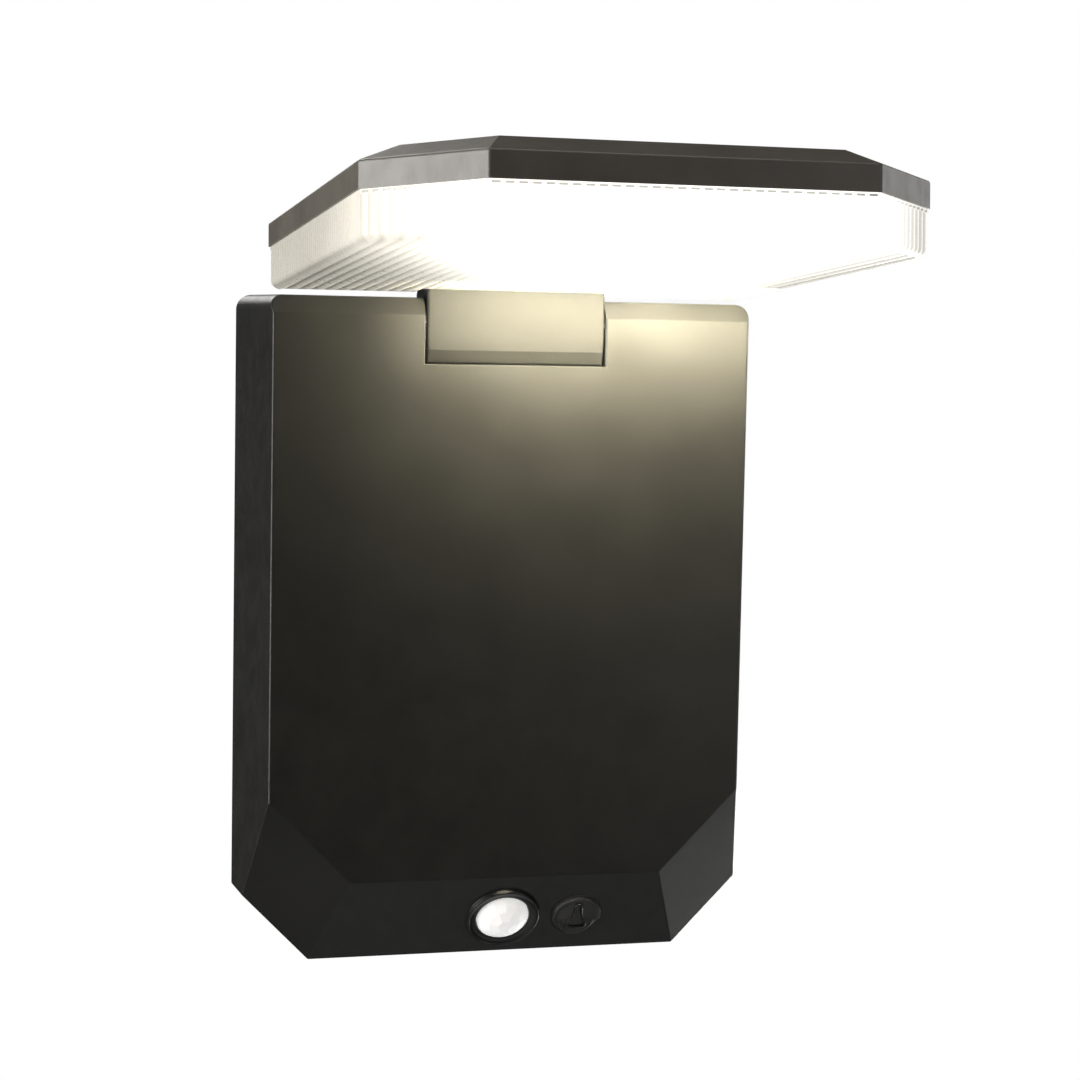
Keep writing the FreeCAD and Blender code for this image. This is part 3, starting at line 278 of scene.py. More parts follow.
def holder_plastic():
    return moulded("holder_plastic", (0.03, 0.03, 0.032), 0.5, edge_wear_and_highlight=0.3)


def nylon():
    return moulded("nylon", (0.62, 0.60, 0.54), 0.45, Subsurface_Weight=0.15)


def component_black():
    return moulded("component_black", (0.02, 0.02, 0.021), 0.55, grain=2200)


def cell_can():
    """The printed plastic sleeve on the cells: a plain colour with a faint shrink texture."""
    return moulded("cell_can", (0.05, 0.16, 0.30), 0.32, grain=500, depth=0.01 * MM)


def screw_steel():
    return metal("screw_steel", (0.46, 0.46, 0.47), 0.30)


def pin_steel():
    return metal("pin_steel", (0.55, 0.55, 0.56), 0.22, streak=(0.05, 1, 1))


def bracket_steel():
    return metal("bracket_steel", (0.42, 0.43, 0.44), 0.42, streak=(2.5, 1, 0.25))


def sensor_metal():
    return metal("sensor_metal", (0.6, 0.59, 0.56), 0.35)


def contact_brass():
    return metal("contact_brass", (0.62, 0.47, 0.22), 0.33, streak=(0.1, 1, 1))


def board(name, mask, copper):
    """A circuit board: solder mask over faint copper tracks."""
    paint = Paint(name, Specular_IOR_Level=0.5, Coat_Weight=0.3, Coat_Roughness=0.2)
    tracks = paint.add("ShaderNodeTexBrick", offset=0.35)
    paint.link(paint.stretched((1, 1, 1)), tracks.inputs["Vector"])
    for socket, value in (("Scale", 90.0), ("Mortar Size", 0.06), ("Mortar Smooth", 0.0)):
        tracks.inputs[socket].default_value = value
    cloud = paint.span(paint.noise(120, 3), 0, 1)
    mask_tone = paint.blend(cloud, scaled(mask, 0.85), scaled(mask, 1.15))
    paint.colour(paint.blend(tracks.outputs["Fac"], mask_tone, copper))
    paint.roughness(paint.span(paint.noise(400), 0.3, 0.42))
    paint.normal(paint.bump(tracks.outputs["Fac"], 0.03 * MM))
    return paint.material


def circuit_green():
    return board("circuit_green", (0.012, 0.11, 0.04), (0.03, 0.19, 0.07))


def circuit_white():
    return board("circuit_white", (0.78, 0.79, 0.76), (0.70, 0.71, 0.68))


def lamp_chip():
    """A lamp chip: yellow phosphor gel in a pale frame."""
    paint = Paint("lamp_chip", Subsurface_Weight=0.2, Emission_Strength=1.5)
    paint.shader.inputs["Emission Color"].default_value = (1.0, 0.85, 0.55, 1)
    gel = paint.span(paint.noise(900, 2), 0, 1)
    paint.colour(paint.blend(gel, (0.85, 0.62, 0.16), (0.95, 0.78, 0.32)))
    paint.roughness(paint.span(paint.noise(500), 0.25, 0.4))
    return paint.material


def lens_white():
    """Milky moulded polyethylene over the motion sensor, with a painted glow: it shines in its
    own colour though it is no lamp.
    """
    # painted glow: an emission strength of 0.6 lifts the lens above the light that falls on it
    paint = Paint("lens_white", Subsurface_Weight=0.35, Subsurface_Scale=2 * MM,
                  Specular_IOR_Level=0.4, Emission_Strength=0.6)
    cloud = paint.span(paint.noise(500, 3), 0, 1)
    milk = paint.blend(cloud, (0.85, 0.845, 0.83), (0.93, 0.925, 0.91))
    paint.colour(milk)
    # painted glow in the lens's own milky colour
    paint.link(milk, paint.shader.inputs["Emission Color"])
    paint.roughness(paint.span(paint.noise(900), 0.32, 0.45))
    paint.normal(paint.bump(paint.noise(2500, 2), 0.008 * MM))
    return paint.material


# The tray's glow grows from its back left to its front right, and dims again at the right end.
GLOW_DIM, GLOW_FULL = 0.38, 1.78
GLOW_GROWS_X = mm(-75, 30)
GLOW_GROWS_Y = mm(-150, -15)
GLOW_FROM_X = 1.6  # how much the way to the right counts, where the way forward counts 1
GLOW_FULL_AT = 4.0  # value of the fourth power of the two together
GLOW_ENDS_X = mm(40, 70)
GLOW_AT_END = 0.34


def diffuser_clear():
    """The lit, ribbed tray: glow strongest at its front and right. Painted shade in the grooves
    of ribs, flutes and dashes lowers the glow there and darkens the colour.
    """
    paint = Paint("diffuser_clear", Specular_IOR_Level=0.45)
    cloud = paint.span(paint.noise(60, 3), 0, 1)
    milk = paint.blend(cloud, (0.24, 0.23, 0.20), (0.28, 0.27, 0.24))
    valley = paint.add("ShaderNodeAttribute", attribute_name="valley").outputs["Fac"]
    # painted shade: the colour darkens towards a dull brown in the grooves of ribs, flutes and
    # dashes
    paint.colour(paint.blend(valley, milk, (0.05, 0.045, 0.035)))
    paint.roughness(paint.span(paint.noise(400), 0.26, 0.36))
    paint.normal(paint.bump(paint.noise(1800, 2), 0.006 * MM))
    split = paint.add("ShaderNodeSeparateXYZ")
    paint.link(paint.coordinates, split.inputs["Vector"])
    rightward = paint.span(split.outputs["X"], 0.0, GLOW_FROM_X, *GLOW_GROWS_X)
    forward = paint.span(split.outputs["Y"], 1.0, 0.0, *GLOW_GROWS_Y)
    nearness = paint.math("ADD", rightward, forward)
    squared = paint.math("MULTIPLY", nearness, nearness)
    fourth_power = paint.math("MULTIPLY", squared, squared)
    strength = paint.span(fourth_power, GLOW_DIM, GLOW_FULL, 0.0, GLOW_FULL_AT)
    right_end = paint.span(split.outputs["X"], 1.0, GLOW_AT_END, *GLOW_ENDS_X)
    glow = paint.math("MULTIPLY", strength, right_end)
    # painted shade: the glow is lowered in the grooves by the same amount
    lit = paint.math("MAXIMUM", paint.math("SUBTRACT", glow, valley), 0.0)
    paint.link(lit, paint.shader.inputs["Emission Strength"])
    warmth = paint.blend(rightward, (1.0, 0.95, 0.83), (1.0, 0.98, 0.90))
    paint.link(warmth, paint.shader.inputs["Emission Color"])
    return paint.material


def panel_sheet():
    return moulded("panel_sheet", (0.035, 0.036, 0.04), 0.5, grain=600)


FINGER_PITCH = 1.9 * MM
FINGER_STARTS, FINGER_FULL = 0.93, 0.94  # shares of the pitch
WAVE_TURNS = 20  # a wave texture turns this many radians in each unit of length at scale 1


def solar_cell():
    """Dark silicon with thin printed silver fingers across it."""
    paint = Paint("solar_cell", Specular_IOR_Level=0.6, Coat_Weight=0.5, Coat_Roughness=0.08)
    fingers = paint.add("ShaderNodeTexWave", wave_type="BANDS", bands_direction="Y",
                        wave_profile="SAW")
    fingers.inputs["Scale"].default_value = 2 * pi / (WAVE_TURNS * FINGER_PITCH)
    paint.link(paint.coordinates, fingers.inputs["Vector"])
    silver = paint.span(fingers.outputs["Fac"], 0, 1, FINGER_STARTS, FINGER_FULL)
    crystal = paint.span(paint.noise(70, 4), 0, 1)
    silicon = paint.blend(crystal, (0.004, 0.006, 0.016), (0.008, 0.012, 0.030))
    paint.colour(paint.blend(silver, silicon, (0.42, 0.43, 0.45)))
    paint.roughness(paint.span(paint.noise(300), 0.22, 0.34))
    paint.normal(paint.bump(silver, 0.01 * MM))
    return paint.material


def panel_glass():
    """The panel's clear cover, slightly hazy and dusty."""
    paint = Paint("panel_glass", Transmission_Weight=1.0, IOR=1.45, Coat_Weight=0.3,
                  Coat_Roughness=0.05)
    cloud = paint.span(paint.noise(40, 4), 0, 1)
    paint.colour(paint.blend(cloud, (0.92, 0.94, 0.95), (0.98, 0.99, 1.0)))
    paint.roughness(paint.span(paint.noise(180, 5), 0.02, 0.12))
    paint.normal(paint.bump(paint.noise(900, 2), 0.003 * MM))
    return paint.material


MAKERS = (
    body_plastic, cover_plastic, head_plastic, arm_plastic, bezel_plastic, button_rubber,
    seal_rubber, holder_plastic, nylon, component_black, cell_can, screw_steel, pin_steel,
    bracket_steel, sensor_metal, contact_brass, circuit_green, circuit_white, lamp_chip,
    lens_white, diffuser_clear, panel_sheet, solar_cell, panel_glass,
)
finishes = {make.__name__: make() for make in MAKERS}


def paint_frame():
    """Gives every CAD node the finish named by its own material slot."""
    for node in nodes.values():
        for index, old in enumerate(node.data.materials):
            node.data.materials[index] = finishes[old.name.split(".")[0]]


CELL_WELD = 0.001 * MM
CELL_DROP = 0.04 * MM


def lower_cells():
    """Sets the solar cells' faces just under the glass instead of in the same plane.
    They are welded first, because the drop would open a mesh that is split at its edges."""
    nodes["solar_cells"].modifiers.new("welded", "WELD").merge_threshold = CELL_WELD
    lowered = nodes["solar_cells"].modifiers.new("lowered", "DISPLACE")
    lowered.strength = -CELL_DROP
    lowered.mid_level = 0.0


# ---------------------------------------------------------------- mesh helpers


def mesh_piece(name, vertices, faces, body, slot, place=None, smooth_below=35.0):
    """A mesh in the row frame, smooth over its gentle bends, that rides on a body."""
    mesh = bpy.data.meshes.new(name)
    mesh.from_pydata([tuple(v) for v in vertices], [], faces)
    if place is not None:
        mesh.transform(place)
    mesh.shade_smooth()
    mesh.set_sharp_from_angle(angle=radians(smooth_below))
    mesh.validate()
    piece = bpy.data.objects.new(name, mesh)
    bpy.context.scene.collection.objects.link(piece)
    mesh.materials.append(finishes[slot])
    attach(piece, body)
    return piece


def bridged(rings, count):
    """Faces between neighbouring rings of count vertices each."""
    faces = []
    for ring in range(rings - 1):
        low = ring * count
        high = low + count
        for i in range(count):
            following = (i + 1) % count
            faces.append((low + i, low + following, high + following, high + i))
    return faces


def turned(rings, spokes, closed=False):
    """Vertices and faces of rings about Z; each ring is a function of the angle."""
    vertices = []
    for ring in rings:
        for i in range(spokes):
            angle = 2 * pi * i / spokes
            radius, height = ring(angle)
            vertices.append(Vector((radius * cos(angle), radius * sin(angle), height)))
    faces = bridged(len(rings), spokes)
    if closed:
        last = (len(rings) - 1) * spokes
        for i in range(spokes):
            following = (i + 1) % spokes
            faces.append((last + i, last + following, following, i))
    else:
        faces.append(tuple(reversed(range(spokes))))
        faces.append(tuple(range((len(rings) - 1) * spokes, len(rings) * spokes)))
    return vertices, faces


def round_ring(radius, height):
    """A plain circular ring, sizes in millimetres."""
    return lambda angle: (radius * MM, height * MM)


# ---------------------------------------------------------------- the ribbed diffuser

TRAY_LOW = 9.6 * MM
TRAY_HIGH = 22.58 * MM
TRAY_SIDE, TRAY_BACK, TRAY_CHEEK = mm(74.4, 3.7, -144.3)
TRAY_NOSE, TRAY_FRONT = mm(48.9, -173.1)
NOTCH_HALF = 28.6 * MM
NOTCH_FRONT = -8.5 * MM
FLOOR_THICKNESS = 1.8 * MM
LIP_RISE = 2.6 * MM
LIP_OUTSIDE, LIP_INSIDE = mm(1.9, 3.3)  # insets from the tray's outside
ROUNDING = 2.5 * MM
ROUNDING_STEPS = 8
# The wall's rings: depth below the rim, and how much of the wall ribs and the dashes shows.
WALL_RINGS_MM = (
    (0.3, 0, 0), (0.36, 0, 1), (0.9, 0, 1), (0.96, 0.2, 0), (1.3, 1, 0), (5.5, 1, 0),
)
WALL_RIB_PITCH = 3.3 * MM
WALL_RIB_DEPTH = 0.32 * MM
DASH_DEPTH = 0.3 * MM
DASH_SHARE = 0.7  # of a rib's width
FLUTE_PITCH = 3.87 * MM
FLUTE_DEPTH = 0.5 * MM
FLUTE_FADE = 3.5 * MM
FLUTE_MEAN = 0.5  # depth of the back edges, level between the flutes' crests and valleys
# painted shade: the glow that each valley loses also darkens its colour in the material
RIB_SHADE, DASH_SHADE, FLUTE_SHADE = 0.11, 1.2, 0.29  # glow that each valley loses
ACROSS_STEP = 0.25 * MM
ALONG_STEP = 0.33 * MM

# The outline's edges, in order. Each has the number of the corner that it starts at, and
# those from BACK_RIGHT on face the wall or the hinge arm.
(LEFT_SIDE, LEFT_CHEEK, FRONT, RIGHT_CHEEK, RIGHT_SIDE,
 BACK_RIGHT, NOTCH_RIGHT, NOTCH_MIDDLE, NOTCH_LEFT, BACK_LEFT) = range(10)
DASH_STRENGTH = {LEFT_CHEEK: 0.35, FRONT: 1, RIGHT_CHEEK: 0.35}  # no dashes elsewhere


def tray_outline():
    """The tray's outline from above, anticlockwise from the back left corner."""
    return [Vector(p) for p in (
        (-TRAY_SIDE, TRAY_BACK), (-TRAY_SIDE, TRAY_CHEEK), (-TRAY_NOSE, TRAY_FRONT),
        (TRAY_NOSE, TRAY_FRONT), (TRAY_SIDE, TRAY_CHEEK), (TRAY_SIDE, TRAY_BACK),
        (NOTCH_HALF, TRAY_BACK), (NOTCH_HALF, NOTCH_FRONT), (-NOTCH_HALF, NOTCH_FRONT),
        (-NOTCH_HALF, TRAY_BACK),
    )]


def inward_of(start, end):
    """The unit vector square to an edge, pointing into an anticlockwise outline."""
    way = (end - start).normalized()
    return Vector((-way.y, way.x))


def inset(outline, amount):
    """The outline with every edge moved inwards by the same amount."""
    moved = []
    for i, corner in enumerate(outline):
        before = inward_of(outline[i - 1], corner)
        after = inward_of(corner, outline[(i + 1) % len(outline)])
        moved.append(corner + (before + after) * (amount / (1 + before.dot(after))))
    return moved


SAME_X_DIGITS = 7  # corners and rows whose x agrees to a tenth of a micrometre are one


def same_x(point):
    return round(point.x, SAME_X_DIGITS)


def crossings(outline):
    """Every x at which the tray's underside gets a row of vertices, low to high."""
    corners = sorted({same_x(p) for p in outline})
    rows = []
    for low, high in zip(corners, corners[1:]):
        count = max(1, round((high - low) / ACROSS_STEP))
        rows += [low + (high - low) * i / count for i in range(count)]
    return rows + [corners[-1]]


SHARE_SLACK = 1e-6  # rounding error where a row meets an edge's own corner


def edge_shares(start, end, rows):
    """Where along an edge its vertices lie, from 0 up to but not including 1."""
    run = end - start
    if abs(run.x) < 10 ** -SAME_X_DIGITS:
        count = max(2, round(run.length / ALONG_STEP))
        return [i / count for i in range(count)]
    shares = sorted((x - start.x) / run.x for x in rows)
    return [s for s in shares if -SHARE_SLACK < s < 1 - SHARE_SLACK]


def scallop(distance, pitch):
    """0 on a rounded rib's crest and 1 in the sharp valley between two ribs."""
    return 1 - abs(sin(pi * distance / pitch))


def tray_rings():
    """The tray's section, from the inside floor over the rim to the underside.
    Each ring is inset, height, and how much of wall ribs, dashes and flutes it shows."""
    floor = TRAY_LOW + FLOOR_THICKNESS
    lip = TRAY_HIGH + LIP_RISE
    rings = [
        (LIP_INSIDE, floor, 0, 0, 0),
        (LIP_INSIDE, lip, 0, 0, 0),
        (LIP_OUTSIDE, lip, 0, 0, 0),
        (LIP_OUTSIDE, TRAY_HIGH, 0, 0, 0),
        (0, TRAY_HIGH, 0, 0, 0),
    ]
    for drop, ribs, dashes in WALL_RINGS_MM:
        rings.append((0, TRAY_HIGH - drop * MM, ribs, dashes, 0))
    for step in range(ROUNDING_STEPS + 1):
        angle = pi / 2 * step / ROUNDING_STEPS
        rings.append((ROUNDING * (1 - cos(angle)), TRAY_LOW + ROUNDING * (1 - sin(angle)),
                      cos(angle), 0, sin(angle) ** 2))
    return rings


def row_chains(rows, outline, spans):
    """For every row of the underside: the ring's front vertex, and the ring's vertices from
    front to back as the strip on its left and the strip on its right see them."""
    front = spans[LEFT_CHEEK] + spans[FRONT][1:] + spans[RIGHT_CHEEK][1:]
    position = {round(x, SAME_X_DIGITS): i for i, x in enumerate(rows)}
    seen_left, seen_right = {}, {}
    for edge in (BACK_LEFT, NOTCH_MIDDLE, BACK_RIGHT):
        begin = position[same_x(outline[(edge + 1) % len(outline)])]
        for offset, vertex in enumerate(reversed(spans[edge])):
            seen_left.setdefault(begin + offset, [vertex])
            seen_right[begin + offset] = [vertex]
    last = len(rows) - 1
    left_notch = position[same_x(outline[NOTCH_LEFT])]
    right_notch = position[same_x(outline[NOTCH_MIDDLE])]
    seen_left[0] = seen_right[0] = list(reversed(spans[LEFT_SIDE][:-1]))
    seen_left[last] = seen_right[last] = spans[RIGHT_SIDE][1:]
    seen_left[left_notch] = spans[NOTCH_LEFT]
    seen_right[left_notch] = [spans[NOTCH_LEFT][0]]
    seen_left[right_notch] = [spans[NOTCH_RIGHT][-1]]
    seen_right[right_notch] = list(reversed(spans[NOTCH_RIGHT]))
    return front, seen_left, seen_right


def tray_underside(rows, outline, starts, count, vertices, painted_shades):
    """Faces that close the last ring with strips running front to back. Each strip is cut
    a little before the back, so that the flutes fade out before the rounded edge."""
    spans = {}
    for edge in range(len(outline)):
        first = starts[edge]
        end = starts[edge + 1] if edge + 1 < len(outline) else count
        spans[edge] = [i % count for i in range(first, end + 1)]
    front, seen_left, seen_right = row_chains(rows, outline, spans)
    base = len(vertices) - count
    added = {}

    def cut_before(row, corner):
        """The vertex a little in front of a row's back corner, made once for each row."""
        if row not in added:
            back = vertices[base + corner]
            flute = scallop(back.x, FLUTE_PITCH)
            added[row] = len(vertices)
            vertices.append(Vector((back.x, back.y - FLUTE_FADE,
                                    TRAY_LOW + FLUTE_DEPTH * flute)))
            # painted shade of the flute at the cut
            painted_shades.append(FLUTE_SHADE * flute)
        return added[row]

    def split(row, chain):
        """The two parts of a row's back end: up to the cut, and from the cut on."""
        cut_y = vertices[base + chain[-1]].y - FLUTE_FADE
        nearest = min(range(len(chain)), key=lambda k: abs(vertices[base + chain[k]].y - cut_y))
        if 0 < nearest < len(chain) - 1:
            near = [base + k for k in chain[:nearest + 1]]
            if len(seen_left[row]) != len(seen_right[row]):
                near.insert(0, cut_before(row, chain[0]))
            return near, [base + k for k in chain[nearest:]]
        cut = cut_before(row, chain[0])
        return [cut], [cut] + [base + k for k in chain]

    faces = []
    for row in range(len(rows) - 1):
        near_right, far_right = split(row, seen_right[row])
        near_left, far_left = split(row + 1, seen_left[row + 1])
        faces.append([base + front[row], base + front[row + 1], *near_left,
                      *reversed(near_right)])
        faces.append([*far_left, *reversed(far_right)])
    return faces


def tray_surface(outline, shares):
    """The tray's rings of vertices, and the painted shade of each vertex: the glow that it loses
    in its valley.
    """
    vertices, painted_valley_shades = [], []
    for amount, height, ribs, dashes, flutes in tray_rings():
        corners = inset(outline, amount)
        for edge, share in shares:
            after = (edge + 1) % len(outline)
            length = (outline[after] - outline[edge]).length
            turns = share * max(1, round(length / WALL_RIB_PITCH))
            groove = ribs * scallop(turns, 1)
            in_dash = abs(turns % 1 - 0.5) < DASH_SHARE / 2
            dash = dashes * DASH_STRENGTH.get(edge, 0) * in_dash
            point = corners[edge].lerp(corners[after], share)
            inward = inward_of(corners[edge], corners[after])
            point += inward * (WALL_RIB_DEPTH * groove + DASH_DEPTH * dash)
            at_back = edge >= BACK_RIGHT
            flute = flutes * (FLUTE_MEAN if at_back else scallop(point.x, FLUTE_PITCH))
            vertices.append(Vector((point.x, point.y, height + FLUTE_DEPTH * flute)))
            # painted shade in the grooves of the ribs, the dashes and the flutes
            painted_valley_shades.append(RIB_SHADE * groove + DASH_SHADE * dash + FLUTE_SHADE * flute)
    return vertices, painted_valley_shades


def diffuser():
    """The clear tray under the lamps: ribbed walls, a row of dashes and a fluted underside."""
    outline = tray_outline()
    innermost = inset(outline, ROUNDING)
    rows = crossings(innermost)
    shares, starts = [], []
    for edge, corner in enumerate(innermost):
        starts.append(len(shares))
        following = innermost[(edge + 1) % len(innermost)]
        shares += [(edge, share) for share in edge_shares(corner, following, rows)]
    vertices, painted_valley_shades = tray_surface(outline, shares)
    count = len(shares)
    faces = [tuple(reversed(face)) for face in bridged(len(vertices) // count, count)]
    faces.append(tuple(range(count)))
    underside = tray_underside(rows, innermost, starts, count, vertices, painted_valley_shades)
    faces += [tuple(reversed(face)) for face in underside]
    piece = mesh_piece("diffuser_tray", vertices, faces, "head", "diffuser_clear",
                       head_place, smooth_below=50)
    # the painted shade is stored as the valley attribute for the material
    shade = piece.data.attributes.new("valley", "FLOAT", "POINT")
    shade.data.foreach_set("value", painted_valley_shades)
    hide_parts("diffuser")


# ---------------------------------------------------------------- sensor and button

# Profiles and outlines here are in millimetres: radius and height above the apron.
SENSOR_X = 0.9 * MM
BUTTON_X = 25.0 * MM
BEZEL_OUTSIDE_MM = ((9.7, -3.3), (12.0, 0.0), (11.72, 0.85))
BEZEL_INSIDE_MM = ((10.35, 0.75), (9.4, 0.62), (8.8, 0.55), (8.65, 0.4), (8.65, -3.3))
LIP_MIDDLE_MM = 11.25
LIP_RADIUS_MM = 0.45
LIP_HEIGHT_MM = 1.0
LIP_FLATNESS = 0.8
LIP_STEPS = 12
BEZEL_SPOKES = 120
LENS_RADIUS_MM = 8.35
LENS_TOP_MM = 4.6
LENS_EDGE_MM = 0.6
LENS_FOOT_MM = -4.0
LENS_CIRCLES_MM = ((2.3, 6), (5.1, 12), (7.5, 24), (LENS_RADIUS_MM, 24))  # radius, facets
FACET_SOFTENING = 0.18 * MM
FACET_BEND = radians(4)  # edges that bend more than this are softened


def on_apron(across):
    return apron_place @ Matrix.Translation((across, 0, 0))


def pir_bezel():
    """The ring round the lens: a soft rounded lip outside and a flat step inside."""
    lip = []
    for step in range(LIP_STEPS + 1):
        angle = pi * step / LIP_STEPS
        lip.append((LIP_MIDDLE_MM + LIP_RADIUS_MM * cos(angle),
                    LIP_HEIGHT_MM + LIP_FLATNESS * LIP_RADIUS_MM * sin(angle)))
    profile = (*BEZEL_OUTSIDE_MM, *lip, *BEZEL_INSIDE_MM)
    rings = [round_ring(radius, height) for radius, height in profile]
    vertices, faces = turned(rings, BEZEL_SPOKES, closed=True)
    piece = mesh_piece("sensor_bezel", vertices, faces, "root", "bezel_plastic",
                       on_apron(SENSOR_X), smooth_below=40)
    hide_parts("pir_bezel")


def dome_height(radius_mm):
    """The lens dome's height above the apron at a distance from its middle, in millimetres."""
    rise = LENS_TOP_MM - LENS_EDGE_MM
    curve = (LENS_RADIUS_MM ** 2 + rise ** 2) / (2 * rise)
    return LENS_TOP_MM - curve + sqrt(curve ** 2 - radius_mm ** 2)


def pir_lens():
    """The sensor's dome, moulded as rings of flat lens facets that double in number outwards."""
    vertices = []
    circles = []
    for radius, count in LENS_CIRCLES_MM:
        height = dome_height(radius)
        circle = []
        for i in range(count):
            angle = 2 * pi * i / count
            circle.append(len(vertices))
            vertices.append(Vector((radius * cos(angle), radius * sin(angle), height)) * MM)
        circles.append(circle)
    foot = []
    for vertex in circles[-1]:
        foot.append(len(vertices))
        x, y, _ = vertices[vertex]
        vertices.append(Vector((x, y, LENS_FOOT_MM * MM)))
    circles.append(foot)
    faces = [tuple(circles[0])]
    for inner, outer in zip(circles, circles[1:]):
        ratio = len(outer) // len(inner)
        for i, vertex in enumerate(inner):
            far = [outer[(ratio * i + k) % len(outer)] for k in range(ratio, -1, -1)]
            faces.append((vertex, inner[(i + 1) % len(inner)], *far)[::-1])
    faces.append(tuple(reversed(foot)))
    piece = mesh_piece("sensor_lens", vertices, faces, "root", "lens_white",
                       on_apron(SENSOR_X), smooth_below=1)
    softened = piece.modifiers.new("softened", "BEVEL")
    softened.width = FACET_SOFTENING
    softened.segments = 3
    softened.limit_method = "ANGLE"
    softened.angle_limit = FACET_BEND
    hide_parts("pir_lens")


def smooth_step(value, low, high):
    share = min(1.0, max(0.0, (value - low) / (high - low)))
    return share * share * (3 - 2 * share)


# The button's collar goes down into the apron. The pad's rings are given by how far they
# lie inside the button's outline, and their height.
COLLAR_MM = ((8.3, -3.4), (8.3, -0.15), (8.15, 0.05))
PAD_MM = (
    (0, 0.1), (0, 0.85), (0.12, 1.2), (0.4, 1.42), (0.75, 1.45), (1.05, 1.3), (1.25, 1.12),
    (1.6, 1.1), (3.0, 1.3), (5.0, 1.48), (6.4, 1.52),
)
PAD_SMALLEST_MM = 0.2
PAD_SPOKES = 144
WAIST_RADIUS_MM = 6.3
CHIN_RISE_MM = 1.5
LOBE_RISE_MM = 1.7
TOP_FLAT_MM = 0.45
LOBE_SINES = (-0.36, -0.14)  # of the angle above level, where the lobe starts and is full
TOP_SINES = (0.4, 1.0)


def button_outline(angle):
    """The button's radius in millimetres: a wide upper lobe that steps in to a rounder chin."""
    height = sin(angle)
    lobe = smooth_step(height, *LOBE_SINES)
    flat_top = TOP_FLAT_MM * smooth_step(height, *TOP_SINES)
    chin = CHIN_RISE_MM * height ** 2 * (1 - lobe)
    return WAIST_RADIUS_MM + chin + LOBE_RISE_MM * lobe - flat_top


def button_cap():
    """The soft button: a lobed pad with a raised border and a slightly crowned middle."""
    rings = [round_ring(radius, height) for radius, height in COLLAR_MM]
    for amount, height in PAD_MM:
        def ring(angle, amount=amount, height=height):
            radius = max(PAD_SMALLEST_MM, button_outline(angle) - amount)
            return radius * MM, height * MM
        rings.append(ring)
    vertices, faces = turned(rings, PAD_SPOKES)
    piece = mesh_piece("button_pad", vertices, faces, "button", "button_rubber",
                       on_apron(BUTTON_X), smooth_below=60)
    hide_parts("button_cap")


SIGN_HALF_MM = ((0.9, 5.2), (1.05, 2.6), (1.5, 0.5), (3.2, -3.0), (3.0, -4.2))
SIGN_HEIGHT_MM = 1.55
SIGN_LINE_RADIUS = 0.5 * MM


def button_symbol():
    """A plain raised lamp sign on the button: a narrow neck over a flared shade."""
    outline = [*SIGN_HALF_MM, *((-x, y) for x, y in reversed(SIGN_HALF_MM))]
    line = bpy.data.curves.new("button_sign_line", "CURVE")
    line.dimensions = "3D"
    line.bevel_depth = SIGN_LINE_RADIUS
    line.bevel_resolution = 3
    spline = line.splines.new("NURBS")
    spline.points.add(len(outline) - 1)
    for point, (x, y) in zip(spline.points, outline):
        point.co = (*mm(x, y, SIGN_HEIGHT_MM), 1)
    spline.use_cyclic_u = True
    spline.order_u = 3
    spline.resolution_u = 10
    guide = bpy.data.objects.new("button_sign_guide", line)
    bpy.context.scene.collection.objects.link(guide)
    bpy.context.view_layer.update()
    solid = bpy.data.meshes.new_from_object(guide)
    vertices = [v.co.copy() for v in solid.vertices]
    faces = [tuple(p.vertices) for p in solid.polygons]
    bpy.data.objects.remove(guide)
    mesh_piece("button_sign", vertices, faces, "button", "bezel_plastic",
               on_apron(BUTTON_X), smooth_below=60)


# ---------------------------------------------------------------- screws on the back

SCREW_HEAD_RADIUS_MM = 2.8
SCREW_RIM_MM = 0.9  # depths below the head's top: of its rim, its underside and the shank's end
SCREW_UNDERSIDE_MM = 2.0
SCREW_LENGTH_MM = 9.0
SCREW_SHANK_RADIUS_MM = 1.4
SCREW_HEAD_RINGS = 26
SCREW_SPOKES = 64
RECESS_DEPTH_MM = 1.1
RECESS_ARM_HALF_MM = 0.42
RECESS_WALL_MM = 0.08  # either side of the arm's edge
RECESS_REACH_MM = 1.7
RECESS_SLOPE_MM = 0.7


def cross_recess(x, y):
    """How deep a cross recess is at a point of a screw head, in millimetres."""
    reach = max(abs(x), abs(y))
    across = min(abs(x), abs(y))
    outside = smooth_step(across, RECESS_ARM_HALF_MM - RECESS_WALL_MM,
                          RECESS_ARM_HALF_MM + RECESS_WALL_MM)
    beyond = smooth_step(reach, RECESS_REACH_MM - RECESS_SLOPE_MM, RECESS_REACH_MM)
    return RECESS_DEPTH_MM * (1 - outside) * (1 - beyond)


def screw_rings():
    """A pan-head screw's rings, from the shank's end to the middle of its recessed head."""
    rings = [
        round_ring(SCREW_SHANK_RADIUS_MM, SCREW_LENGTH_MM),
        round_ring(SCREW_SHANK_RADIUS_MM, SCREW_UNDERSIDE_MM),
        round_ring(SCREW_HEAD_RADIUS_MM, SCREW_UNDERSIDE_MM),
        round_ring(SCREW_HEAD_RADIUS_MM, SCREW_RIM_MM),
    ]
    for step in range(1, SCREW_HEAD_RINGS):
        share = 1 - step / SCREW_HEAD_RINGS
        crown = SCREW_RIM_MM * share ** 4

        def ring(angle, share=share, crown=crown):
            radius = share * SCREW_HEAD_RADIUS_MM
            recess = cross_recess(radius * cos(angle), radius * sin(angle))
            return radius * MM, (crown + recess) * MM
        rings.append(ring)
    return rings


